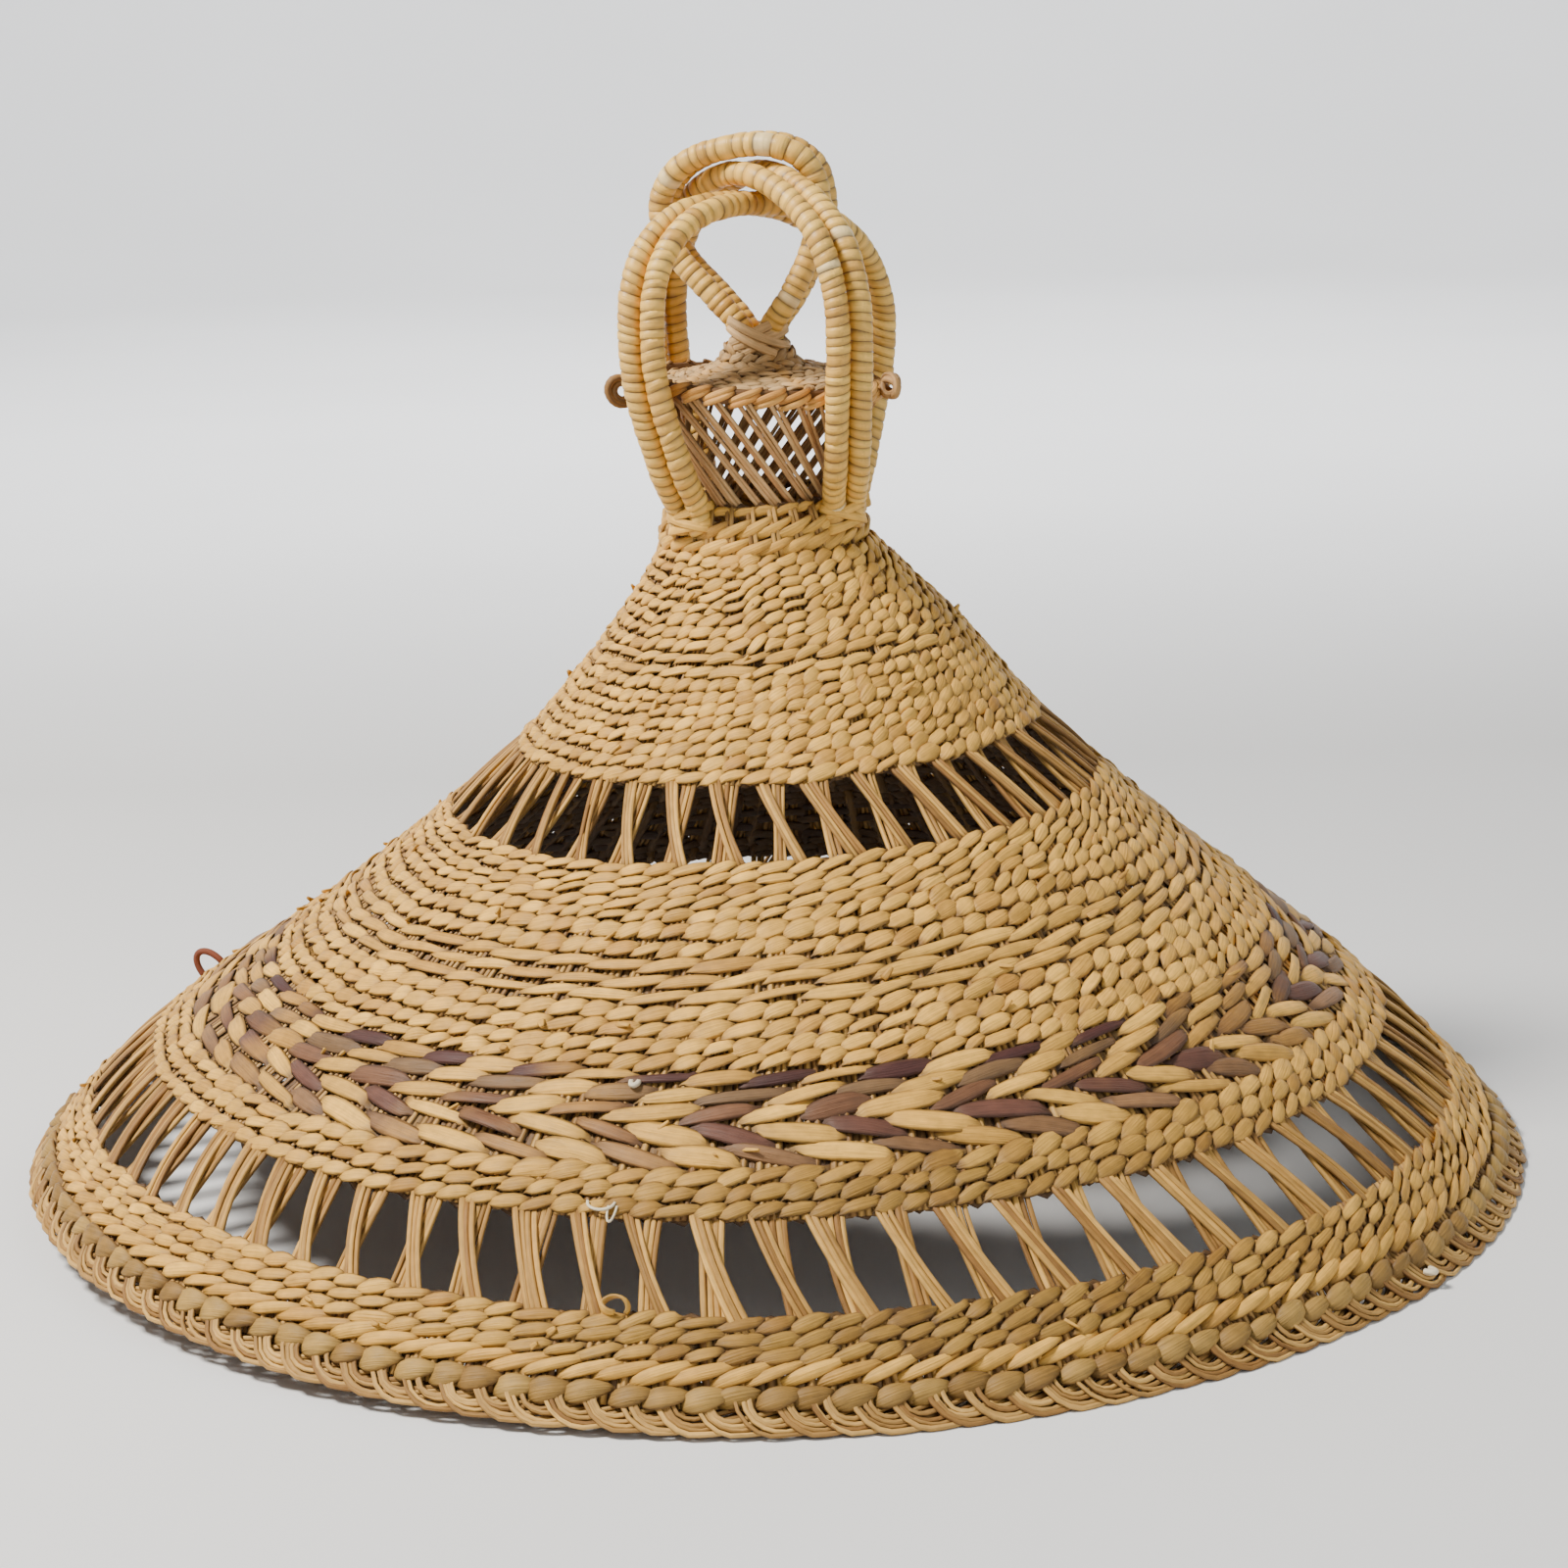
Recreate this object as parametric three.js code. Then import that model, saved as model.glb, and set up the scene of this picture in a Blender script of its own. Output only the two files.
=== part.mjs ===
// A Basotho straw hat standing on its rim: a wide twined cone with two rows of open crossed stakes,
// a see-through drum above the neck and a topknot of looped, wrapped rods. Millimetres, +Z up.
// The viewer who sees the hat from the front looks along +Y, with +X to the right.
import * as THREE from 'three';

// Outer face of the woven cone, one row per height. The cone is a little lopsided:
// shift moves a ring of the cone to the right, and tilt lifts its right side and drops its left.
const CONE_SHAPE = [
  { height: 0, radius: 200.0, shift: 0.0, tilt: 0.0 },
  { height: 20, radius: 183.9, shift: -1.2, tilt: 0.4 },
  { height: 40, radius: 163.7, shift: -1.3, tilt: 0.6 },
  { height: 60, radius: 137.6, shift: 0.2, tilt: 1.4 },
  { height: 80, radius: 111.6, shift: 1.3, tilt: 2.3 },
  { height: 100, radius: 88.2, shift: 2.4, tilt: 2.9 },
  { height: 120, radius: 66.7, shift: 3.6, tilt: 3.0 },
  { height: 140, radius: 49.8, shift: 4.4, tilt: 2.6 },
  { height: 155, radius: 36.8, shift: 3.7, tilt: 1.4 },
  { height: 170, radius: 25.5, shift: 1.6, tilt: 0.0 },
];
// The rim stands off the table at the left. The lift is full up to a height on the cone and dies
// out at another; round the hat it reaches further towards the front than towards the back.
const RIM_LIFT = {
  rise: 7.5,
  angle: THREE.MathUtils.degToRad(-170),
  frontReach: THREE.MathUtils.degToRad(100),
  backReach: THREE.MathUtils.degToRad(50),
  fullTo: 9,
  endsAt: 60,
};
const WOVEN_WALL = 2.6;
const STAKE_WALL = 2.0;
const SEAM_GAP = 0.3;

// Heights on the cone where one band of weave ends and the next begins.
const BRIM_BOTTOM = 8.8;
const LOWER_WINDOWS_BOTTOM = 19.3;
const LOWER_WINDOWS_TOP = 38.7;
const UPPER_WINDOWS_BOTTOM = 100.9;
const UPPER_WINDOWS_TOP = 116.8;
const CONE_TOP = 168.0;

// Crossed stakes: one six-sided window between two neighbouring crossings.
// The corners are parts of one cell: across it from left to right, and up it from bottom to top.
// start turns the band by that many cells.
const LOWER_WINDOWS = { count: 74, start: -0.33 };
const UPPER_WINDOWS = { count: 38, start: 0.5 };
const WINDOW_CORNERS = [
  { up: 0.07, left: 0.27, right: 0.73 },
  { up: 0.5, left: 0.14, right: 0.86 },
  { up: 0.93, left: 0.27, right: 0.73 },
];
// How far round, in cells, a crossing's foot lies from its head.
const STAKE_LEAN = 0.48;

// Plaited rope at the rim, as a section: out from the hat's axis and up from the table.
const RIM_SECTION = [
  { out: 192.4, up: 0.0 },
  { out: 198.0, up: 0.0 },
  { out: 200.4, up: 2.6 },
  { out: 199.0, up: 6.4 },
  { out: 194.6, up: 8.9 },
  { out: 191.1, up: 5.8 },
  { out: 190.5, up: 2.3 },
];

// Neck, drum, collar and cap, as sections around their own upright axis.
const NECK_CENTRE_X = 1.5;
const NECK_SECTION = [
  { out: 20.5, up: 168.3 },
  { out: 25.4, up: 168.0 },
  { out: 27.0, up: 170.6 },
  { out: 26.6, up: 173.7 },
  { out: 20.5, up: 173.7 },
];
const DRUM_BOTTOM = { height: 174.0, radius: 21.8 };
const DRUM_TOP = { height: 203.9, radius: 32.0 };
const DRUM_CENTRE_X = 1.0;
const DRUM_STAKES = 28;
const DRUM_TWIST = THREE.MathUtils.degToRad(50);
const DRUM_OPENING = [
  { up: 0.08, left: 0.22, right: 0.78 },
  { up: 0.92, left: 0.22, right: 0.78 },
];
const COLLAR_CENTRE_X = 0.8;
const COLLAR_TILT = -2.2;
const COLLAR_SECTION = [
  { out: 29.6, up: 204.7 },
  { out: 31.6, up: 204.4 },
  { out: 33.2, up: 205.8 },
  { out: 33.2, up: 208.0 },
  { out: 31.6, up: 209.4 },
  { out: 29.6, up: 209.2 },
];
const CAP_CENTRE = { x: 1.3, y: -0.2 };
const CAP_PROFILE = [
  { out: 0.0, up: 207.2 },
  { out: 28.0, up: 206.2 },
  { out: 28.2, up: 208.4 },
  { out: 18.0, up: 209.6 },
  { out: 11.0, up: 212.0 },
  { out: 8.2, up: 215.6 },
  { out: 7.2, up: 220.2 },
  { out: 0.0, up: 220.9 },
];

// Wrapped rods of the topknot. They run in pairs, and each table is the middle line of a pair.
const ROD_RADIUS = 3.15;
const ROD_SPACING = 6.9;
const LOW_HOOP_SIDE = new THREE.Vector3(0.85, -0.53, 0).normalize();
const LOW_HOOP_PATH = [
  { x: -17.5, y: -18.4, z: 174.6 },
  { x: -18.0, y: -19.0, z: 178.5 },
  { x: -20.9, y: -22.8, z: 186.0 },
  { x: -23.7, y: -25.6, z: 196.0 },
  { x: -26.2, y: -27.0, z: 206.0 },
  { x: -27.6, y: -27.2, z: 215.0 },
  { x: -27.8, y: -26.8, z: 224.0 },
  { x: -27.1, y: -26.0, z: 233.5 },
  { x: -24.6, y: -23.6, z: 241.8 },
  { x: -20.0, y: -19.2, z: 248.4 },
  { x: -13.6, y: -13.4, z: 252.4 },
  { x: -5.0, y: -5.6, z: 253.8 },
  { x: 5.0, y: 3.3, z: 252.8 },
  { x: 14.0, y: 11.0, z: 249.8 },
  { x: 22.0, y: 18.5, z: 244.8 },
  { x: 27.5, y: 24.0, z: 238.0 },
  { x: 30.9, y: 27.2, z: 230.0 },
  { x: 32.4, y: 28.5, z: 220.0 },
  { x: 31.5, y: 27.5, z: 207.0 },
  { x: 29.3, y: 25.0, z: 197.0 },
  { x: 26.8, y: 20.8, z: 186.0 },
  { x: 24.8, y: 16.8, z: 178.5 },
  { x: 24.3, y: 16.2, z: 174.6 },
];
const HIGH_HOOP_SIDE = new THREE.Vector3(0.85, 0.53, 0).normalize();
const HIGH_HOOP_PATH = [
  { x: 22.4, y: -16.8, z: 174.8 },
  { x: 22.5, y: -17.6, z: 178.5 },
  { x: 23.2, y: -24.0, z: 187.0 },
  { x: 23.8, y: -28.0, z: 199.0 },
  { x: 24.2, y: -29.4, z: 209.0 },
  { x: 24.6, y: -29.9, z: 219.0 },
  { x: 24.4, y: -29.5, z: 229.0 },
  { x: 23.0, y: -27.6, z: 238.0 },
  { x: 20.6, y: -25.2, z: 245.4 },
  { x: 16.8, y: -20.6, z: 251.6 },
  { x: 11.4, y: -13.8, z: 257.0 },
  { x: 4.9, y: -5.2, z: 260.6 },
  { x: -1.6, y: 3.8, z: 261.0 },
  { x: -8.0, y: 12.8, z: 257.9 },
  { x: -13.6, y: 20.3, z: 253.0 },
  { x: -18.6, y: 25.6, z: 246.0 },
  { x: -21.8, y: 28.6, z: 237.0 },
  { x: -23.4, y: 29.6, z: 226.0 },
  { x: -23.2, y: 29.6, z: 215.0 },
  { x: -22.2, y: 29.0, z: 205.0 },
  { x: -19.6, y: 25.6, z: 194.0 },
  { x: -16.0, y: 21.3, z: 178.5 },
  { x: -15.6, y: 20.8, z: 174.8 },
];
const TOP_RING_SIDE = new THREE.Vector3(0.25, 0.97, 0).normalize();
const TOP_RING_PATH = [
  { x: -2.4, y: 1.2, z: 222.9 },
  { x: -9.8, y: 4.5, z: 231.0 },
  { x: -17.6, y: 8.0, z: 239.8 },
  { x: -21.6, y: 9.4, z: 248.6 },
  { x: -20.8, y: 8.6, z: 257.2 },
  { x: -14.2, y: 6.1, z: 264.5 },
  { x: -2.6, y: 1.8, z: 268.0 },
  { x: 7.8, y: -1.2, z: 268.1 },
  { x: 15.4, y: -1.6, z: 264.4 },
  { x: 18.8, y: -1.2, z: 257.6 },
  { x: 18.8, y: -1.6, z: 249.0 },
  { x: 15.6, y: -3.2, z: 239.0 },
  { x: 11.0, y: -4.1, z: 230.0 },
  { x: 5.8, y: -2.3, z: 222.9 },
];
const ROD_SIDES = 8;
const ROD_STEPS = 21;

// Small ends of cord and strap.
const CORD_SIDES = 6;
const SIDE_LOOP = { height: 41.5, angle: THREE.MathUtils.degToRad(166), reach: 6.0, width: 7.0, thickness: 1.9 };
const COLLAR_LOOP_PATH = [
  { x: -32.2, y: -8.8, z: 209.4 },
  { x: -34.8, y: -9.6, z: 211.2 },
  { x: -37.2, y: -10.2, z: 209.4 },
  { x: -37.0, y: -10.2, z: 206.0 },
  { x: -34.8, y: -9.6, z: 203.8 },
];
const COLLAR_LOOP_THICKNESS = 2.4;
const COLLAR_KNOT = { x: 36.0, y: -7.4, z: 205.6, radius: 2.3 };

const STRAW = new THREE.Color('#cba66b');
const RIPE_STRAW = new THREE.Color('#b98a4e');
const BROWN_CORD = new THREE.Color('#6e4636');

function woven(color) {
  return new THREE.MeshStandardMaterial({ color, roughness: 0.72, metalness: 0 });
}

// A smooth curve through one column of the cone's table.
function coneSize(height, column) {
  const rows = CONE_SHAPE;
  let at = 0;
  while (at < rows.length - 2 && height > rows[at + 1].height) at += 1;
  const low = rows[at];
  const high = rows[at + 1];
  const before = rows[Math.max(at - 1, 0)];
  const after = rows[Math.min(at + 2, rows.length - 1)];
  const span = high.height - low.height;
  const startSlope = (high[column] - before[column]) / (high.height - before.height);
  const endSlope = (after[column] - low[column]) / (after.height - low.height);
  const t = (height - low.height) / span;
  const startWeight = 2 * t ** 3 - 3 * t ** 2 + 1;
  const endWeight = 3 * t ** 2 - 2 * t ** 3;
  const startTangent = (t ** 3 - 2 * t ** 2 + t) * span * startSlope;
  const endTangent = (t ** 3 - t ** 2) * span * endSlope;
  return startWeight * low[column] + endWeight * high[column] + startTangent + endTangent;
}

function lifted(height, angle) {
  const turn = Math.atan2(Math.sin(angle - RIM_LIFT.angle), Math.cos(angle - RIM_LIFT.angle));
  const reach = turn > 0 ? RIM_LIFT.frontReach : RIM_LIFT.backReach;
  if (Math.abs(turn) >= reach) return 0;
  const around = Math.cos(turn / reach * Math.PI / 2) ** 2;
  const above = (height - RIM_LIFT.fullTo) / (RIM_LIFT.endsAt - RIM_LIFT.fullTo);
  return RIM_LIFT.rise * around * (1 - THREE.MathUtils.clamp(above, 0, 1)) ** 1.5;
}

// A point of the cone's wall: inward is how far it lies under the outer face.
function conePoint(height, angle, inward = 0) {
  const step = 0.5;
  const rise = 2 * step;
  const run = coneSize(height + step, 'radius') - coneSize(height - step, 'radius');
  const length = Math.hypot(rise, run);
  const radius = coneSize(height, 'radius') - inward * rise / length;
  const drop = inward * -run / length;
  const x = coneSize(height, 'shift') + radius * Math.cos(angle);
  const y = radius * Math.sin(angle);
  const z = height - drop + coneSize(height, 'tilt') * Math.cos(angle) + lifted(height, angle);
  return new THREE.Vector3(x, y, z);
}

function solid(points, triangles) {
  const geometry = new THREE.BufferGeometry();
  geometry.setAttribute('position', new THREE.Float32BufferAttribute(points.flatMap((p) => [p.x, p.y, p.z]), 3));
  geometry.setIndex(triangles);
  geometry.computeVertexNormals();
  return geometry;
}

// A closed ring. The section is a list of corners that runs anticlockwise when it is seen
// with the axis at the left, and place gives the point of a corner at an angle.
function ringSolid(section, count, place) {
  const points = [];
  const triangles = [];
  const corners = section.length;
  for (let turn = 0; turn < count; turn += 1) {
    const angle = turn / count * 2 * Math.PI;
    for (const corner of section) points.push(place(corner, angle));
  }
  for (let turn = 0; turn < count; turn += 1) {
    const next = (turn + 1) % count;
    for (let corner = 0; corner < corners; corner += 1) {
      const following = (corner + 1) % corners;
      const a = turn * corners + corner;
      const b = next * corners + corner;
      const c = next * corners + following;
      const d = turn * corners + following;
      triangles.push(a, b, c, a, c, d);
    }
  }
  return solid(points, triangles);
}

function coneBand(bottom, top, rows, count) {
  const section = [];
  for (let row = 0; row <= rows; row += 1) section.push({ height: bottom + (top - bottom) * row / rows, inward: 0 });
  for (let row = rows; row >= 0; row -= 1) {
    section.push({ height: bottom + (top - bottom) * row / rows, inward: WOVEN_WALL });
  }
  return ringSolid(section, count, (corner, angle) => conePoint(corner.height, angle, corner.inward));
}

function rimRing() {
  return ringSolid(RIM_SECTION, 64, (corner, angle) => new THREE.Vector3(
    corner.out * Math.cos(angle),
    corner.out * Math.sin(angle),
    corner.up + lifted(0, angle),
  ));
}

function turnedRing(section, count, centreX, tilt = 0) {
  return ringSolid(section, count, (corner, angle) => new THREE.Vector3(
    centreX + corner.out * Math.cos(angle),
    corner.out * Math.sin(angle),
    corner.up + tilt * Math.cos(angle),
  ));
}

// A wall around the hat with one opening in each cell, cut right through it.
// place gives the point at a number of cells around, a part of the way up and a side of the wall.
function piercedBand(count, opening, place) {
  const points = [];
  const triangles = [];
  const last = opening.length - 1;
  const perCell = 6 * opening.length;
  const index = (cell, kind, row, side) => (cell % count) * perCell + (kind * opening.length + row) * 2 + side;
  for (let cell = 0; cell < count; cell += 1) {
    for (const kind of ['edge', 'left', 'right']) {
      opening.forEach((corner, row) => {
        const edgeUp = row === 0 ? 0 : row === last ? 1 : corner.up;
        const around = kind === 'edge' ? cell : cell + corner[kind];
        const up = kind === 'edge' ? edgeUp : corner.up;
        points.push(place(around, up, 0), place(around, up, 1));
      });
    }
  }
  const [outer, inner] = [0, 1];
  const at = ([cell, kind, row], side) => index(cell, kind, row, side);
  const quad = (a, b, c, d) => {
    triangles.push(at(a, outer), at(b, outer), at(c, outer), at(a, outer), at(c, outer), at(d, outer));
    triangles.push(at(a, inner), at(c, inner), at(b, inner), at(a, inner), at(d, inner), at(c, inner));
  };
  const wall = (a, b) => {
    triangles.push(at(a, outer), at(b, outer), at(b, inner), at(a, outer), at(b, inner), at(a, inner));
  };
  const [edge, left, right] = [0, 1, 2];
  for (let cell = 0; cell < count; cell += 1) {
    const next = cell + 1;
    quad([cell, edge, 0], [next, edge, 0], [cell, right, 0], [cell, left, 0]);
    quad([cell, left, last], [cell, right, last], [next, edge, last], [cell, edge, last]);
    wall([next, edge, 0], [cell, edge, 0]);
    wall([cell, edge, last], [next, edge, last]);
    wall([cell, left, 0], [cell, right, 0]);
    wall([cell, right, last], [cell, left, last]);
    for (let row = 0; row < last; row += 1) {
      quad([cell, edge, row], [cell, left, row], [cell, left, row + 1], [cell, edge, row + 1]);
      quad([cell, right, row], [next, edge, row], [next, edge, row + 1], [cell, right, row + 1]);
      wall([cell, right, row], [cell, right, row + 1]);
      wall([cell, left, row + 1], [cell, left, row]);
    }
  }
  return solid(points, triangles);
}

function windowBand(bottom, top, windows) {
  return piercedBand(windows.count, WINDOW_CORNERS, (around, up, side) => conePoint(
    bottom + (top - bottom) * up,
    (around + windows.start + STAKE_LEAN * (0.5 - up)) / windows.count * 2 * Math.PI,
    side * STAKE_WALL,
  ));
}

// The drum's stakes are straight and slant: the foot of each one lies a part of a turn
// further round than its head, so the drum is drawn in a little at the middle.
function drumStakes() {
  return piercedBand(DRUM_STAKES, DRUM_OPENING, (around, up, side) => {
    const middle = (around + 0.5) / DRUM_STAKES * 2 * Math.PI;
    const foot = middle + DRUM_TWIST / 2;
    const head = middle - DRUM_TWIST / 2;
    const low = DRUM_BOTTOM.radius - side * STAKE_WALL;
    const high = DRUM_TOP.radius - side * STAKE_WALL;
    const x = low * Math.cos(foot) * (1 - up) + high * Math.cos(head) * up;
    const y = low * Math.sin(foot) * (1 - up) + high * Math.sin(head) * up;
    const headHeight = DRUM_TOP.height + COLLAR_TILT * Math.cos(head);
    const z = DRUM_BOTTOM.height * (1 - up) + headHeight * up;
    return new THREE.Vector3(DRUM_CENTRE_X + x, y, z);
  });
}

// A round rod or cord along a smooth line through the rows of a table.
function rod(path, radius, sides, steps) {
  const line = new THREE.CatmullRomCurve3(path.map((row) => new THREE.Vector3(row.x, row.y, row.z)));
  const section = new THREE.Shape();
  for (let side = 0; side < sides; side += 1) {
    const angle = side / sides * 2 * Math.PI;
    const corner = [radius * Math.cos(angle), radius * Math.sin(angle)];
    if (side === 0) section.moveTo(...corner);
    else section.lineTo(...corner);
  }
  return new THREE.ExtrudeGeometry(section, { steps, extrudePath: line, bevelEnabled: false });
}

function capSolid() {
  return new THREE.LatheGeometry(CAP_PROFILE.map((corner) => new THREE.Vector2(corner.out, corner.up)), 32);
}

function add(group, name, geometry, color) {
  const mesh = new THREE.Mesh(geometry, woven(color));
  mesh.name = name;
  group.add(mesh);
  return mesh;
}

function rodPair(group, names, path, side) {
  const geometry = rod(path, ROD_RADIUS, ROD_SIDES, ROD_STEPS);
  names.forEach((name, order) => {
    const mesh = add(group, name, geometry, STRAW);
    mesh.position.copy(side).multiplyScalar(ROD_SPACING * (order - 0.5));
  });
}

const hat = new THREE.Group();
hat.name = 'basotho_hat';

const cone = new THREE.Group();
cone.name = 'cone';
hat.add(cone);
add(cone, 'rim_border', rimRing(), RIPE_STRAW);
add(cone, 'brim_band', coneBand(BRIM_BOTTOM, LOWER_WINDOWS_BOTTOM - SEAM_GAP / 2, 1, 72), STRAW);
add(cone, 'lower_window_band',
  windowBand(LOWER_WINDOWS_BOTTOM + SEAM_GAP / 2, LOWER_WINDOWS_TOP - SEAM_GAP / 2, LOWER_WINDOWS), RIPE_STRAW);
add(cone, 'middle_cone', coneBand(LOWER_WINDOWS_TOP + SEAM_GAP / 2, UPPER_WINDOWS_BOTTOM - SEAM_GAP / 2, 5, 60), STRAW);
add(cone, 'upper_window_band',
  windowBand(UPPER_WINDOWS_BOTTOM + SEAM_GAP / 2, UPPER_WINDOWS_TOP - SEAM_GAP / 2, UPPER_WINDOWS), RIPE_STRAW);
add(cone, 'upper_cone', coneBand(UPPER_WINDOWS_TOP + SEAM_GAP / 2, CONE_TOP, 5, 44), STRAW);

const topknot = new THREE.Group();
topknot.name = 'topknot';
hat.add(topknot);
add(topknot, 'neck_band', turnedRing(NECK_SECTION, 36, NECK_CENTRE_X), STRAW);
add(topknot, 'drum_stakes', drumStakes(), RIPE_STRAW);
add(topknot, 'collar', turnedRing(COLLAR_SECTION, 40, COLLAR_CENTRE_X, COLLAR_TILT), RIPE_STRAW);
const cap = add(topknot, 'cap', capSolid(), STRAW);
cap.rotation.x = Math.PI / 2;
cap.position.set(CAP_CENTRE.x, CAP_CENTRE.y, 0);
rodPair(topknot, ['low_hoop_rear', 'low_hoop_front'], LOW_HOOP_PATH, LOW_HOOP_SIDE);
rodPair(topknot, ['high_hoop_front', 'high_hoop_rear'], HIGH_HOOP_PATH, HIGH_HOOP_SIDE);
rodPair(topknot, ['top_ring_front', 'top_ring_rear'], TOP_RING_PATH, TOP_RING_SIDE);
add(topknot, 'collar_loop', rod(COLLAR_LOOP_PATH, COLLAR_LOOP_THICKNESS / 2, CORD_SIDES, 8), RIPE_STRAW);
const knot = add(topknot, 'collar_knot', new THREE.IcosahedronGeometry(COLLAR_KNOT.radius, 1), RIPE_STRAW);
knot.position.set(COLLAR_KNOT.x, COLLAR_KNOT.y, COLLAR_KNOT.z);

// The brown cord makes a small ear on the side of the cone, both of its ends at the wall.
const outward = conePoint(SIDE_LOOP.height, SIDE_LOOP.angle, -1).sub(conePoint(SIDE_LOOP.height, SIDE_LOOP.angle));
const uphill = conePoint(SIDE_LOOP.height + 1, SIDE_LOOP.angle).sub(conePoint(SIDE_LOOP.height, SIDE_LOOP.angle));
uphill.normalize();
const loopPath = [-90, -50, 0, 50, 90].map((degrees) => {
  const turn = THREE.MathUtils.degToRad(degrees);
  return conePoint(SIDE_LOOP.height, SIDE_LOOP.angle)
    .addScaledVector(outward, SEAM_GAP + (SIDE_LOOP.reach - SEAM_GAP) * Math.cos(turn))
    .addScaledVector(uphill, SIDE_LOOP.width / 2 * Math.sin(turn));
});
add(cone, 'side_loop', rod(loopPath, SIDE_LOOP.thickness / 2, CORD_SIDES, 8), BROWN_CORD);

export default hat;
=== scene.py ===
import math
from collections import namedtuple

import bpy
import numpy as np
from mathutils import Matrix


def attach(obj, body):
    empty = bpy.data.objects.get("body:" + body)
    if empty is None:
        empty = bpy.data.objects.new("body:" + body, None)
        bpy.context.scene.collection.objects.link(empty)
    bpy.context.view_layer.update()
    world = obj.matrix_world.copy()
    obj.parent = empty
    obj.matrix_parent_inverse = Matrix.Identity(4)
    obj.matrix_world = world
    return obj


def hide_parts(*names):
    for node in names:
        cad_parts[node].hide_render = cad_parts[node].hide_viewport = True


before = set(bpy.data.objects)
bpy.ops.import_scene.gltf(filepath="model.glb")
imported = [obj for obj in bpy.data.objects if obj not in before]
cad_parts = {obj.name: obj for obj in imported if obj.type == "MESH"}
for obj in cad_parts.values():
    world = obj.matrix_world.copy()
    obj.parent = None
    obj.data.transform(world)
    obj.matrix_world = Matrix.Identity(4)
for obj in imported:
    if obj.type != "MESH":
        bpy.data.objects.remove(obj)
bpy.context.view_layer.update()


# The upper cone is dry mountain grass, twined round and round on upright stakes: two flat strips
# swap places between one stake and the next, so each shows as a leaf-shaped stitch. The rows start
# at the neck, and stakes are added as the cone widens.
MILLIMETRE = 0.001
FULL_TURN = 2 * math.pi

# The cone is a little crooked: shift is how far to the right a level lies, and tilt is how much its
# right side is raised. All sizes are in millimetres.
CONE_SHAPE = np.array(
    [
        (0, 200.0, 0.0, 0.0),
        (20, 183.9, -1.2, 0.4),
        (40, 163.7, -1.3, 0.6),
        (60, 137.6, 0.2, 1.4),
        (80, 111.6, 1.3, 2.3),
        (100, 88.2, 2.4, 2.9),
        (120, 66.7, 3.6, 3.0),
        (140, 49.8, 4.4, 2.6),
        (155, 36.8, 3.7, 1.4),
        (170, 25.5, 1.6, 0.0),
    ],
    dtype=[("height", float), ("radius", float), ("shift", float), ("tilt", float)],
)
WALL = 2.6
Lift = namedtuple("Lift", "rise angle front_reach back_reach full_to ends_at")
RIM_LIFT = Lift(7.5, math.radians(-170), math.radians(100), math.radians(50), 9, 60)


def cone_size(height, column):
    """One column of the cone's table at any height, along a smooth curve."""
    known = CONE_SHAPE["height"]
    value = CONE_SHAPE[column]
    slope = np.gradient(value, known)
    at = np.clip(np.searchsorted(known, height, side="right") - 1, 0, len(known) - 2)
    span = known[at + 1] - known[at]
    part = (height - known[at]) / span
    start = (2 * part**3 - 3 * part**2 + 1) * value[at] + (part**3 - 2 * part**2 + part) * span * slope[at]
    end = (3 * part**2 - 2 * part**3) * value[at + 1] + (part**3 - part**2) * span * slope[at + 1]
    return start + end


def slant(height):
    """Wall length for each millimetre of height."""
    return np.hypot(1, cone_size(height + 0.5, "radius") - cone_size(height - 0.5, "radius"))


def lifted(height, angle):
    """How far the rim stands off the table: it lifts at the left, and dies out up the cone."""
    turn = np.angle(np.exp(1j * (angle - RIM_LIFT.angle)))
    reach = np.where(turn > 0, RIM_LIFT.front_reach, RIM_LIFT.back_reach)
    around = np.cos(np.clip(turn / reach, -1, 1) * math.pi / 2) ** 2
    above = (height - RIM_LIFT.full_to) / (RIM_LIFT.ends_at - RIM_LIFT.full_to)
    return RIM_LIFT.rise * around * (1 - np.clip(above, 0, 1)) ** 1.5


def on_cone(height, angle, uphill=0.0, outward=0.0):
    """Points by height and angle; uphill and outward are distances along and off the outer face."""
    angle = np.asarray(angle, float)
    height = height + uphill / slant(height)
    run = cone_size(height + 0.5, "radius") - cone_size(height - 0.5, "radius")
    length = np.hypot(1, run)
    radius = cone_size(height, "radius") + outward / length
    x = cone_size(height, "shift") + radius * np.cos(angle)
    y = radius * np.sin(angle)
    z = height - outward * run / length + cone_size(height, "tilt") * np.cos(angle) + lifted(height, angle)
    return np.stack(np.broadcast_arrays(x, y, z), axis=-1)


def at_height(height):
    """Places on the cone at one height, by angle, uphill and outward."""
    return lambda angle, uphill, outward: on_cone(height, angle, uphill, outward)


def hand(angle, height, seed):
    """A slow irregularity of about one unit, alike on rows that lie close together."""
    draw = np.random.default_rng(seed)
    total = 0.0
    for turns in (2, 5, 9, 16, 27):
        phase, climb, size = draw.uniform(0, FULL_TURN), draw.normal(0, 0.09), draw.uniform(0.5, 1)
        total = total + size * np.sin(turns * angle + climb * height + phase)
    return total / 2


STAKE_WANDER = 0.006
ROW_WAVER = 0.55


def wander(angle, height):
    """How far a stake strays sideways from its even place, as an angle."""
    return hand(angle, height, 5) * STAKE_WANDER


def waver(angle, height):
    """How far a row strays up or down, in millimetres."""
    return hand(angle, height, 8) * ROW_WAVER


def linear(red, green, blue):
    """A colour as seen on a screen, from 0 to 255, as the light values that shaders use."""
    seen = np.array([red, green, blue]) / 255
    return np.where(seen <= 0.04045, seen / 12.92, ((seen + 0.055) / 1.055) ** 2.4)


def mixed(first, second, share):
    return first * (1 - share) + second * share


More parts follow.
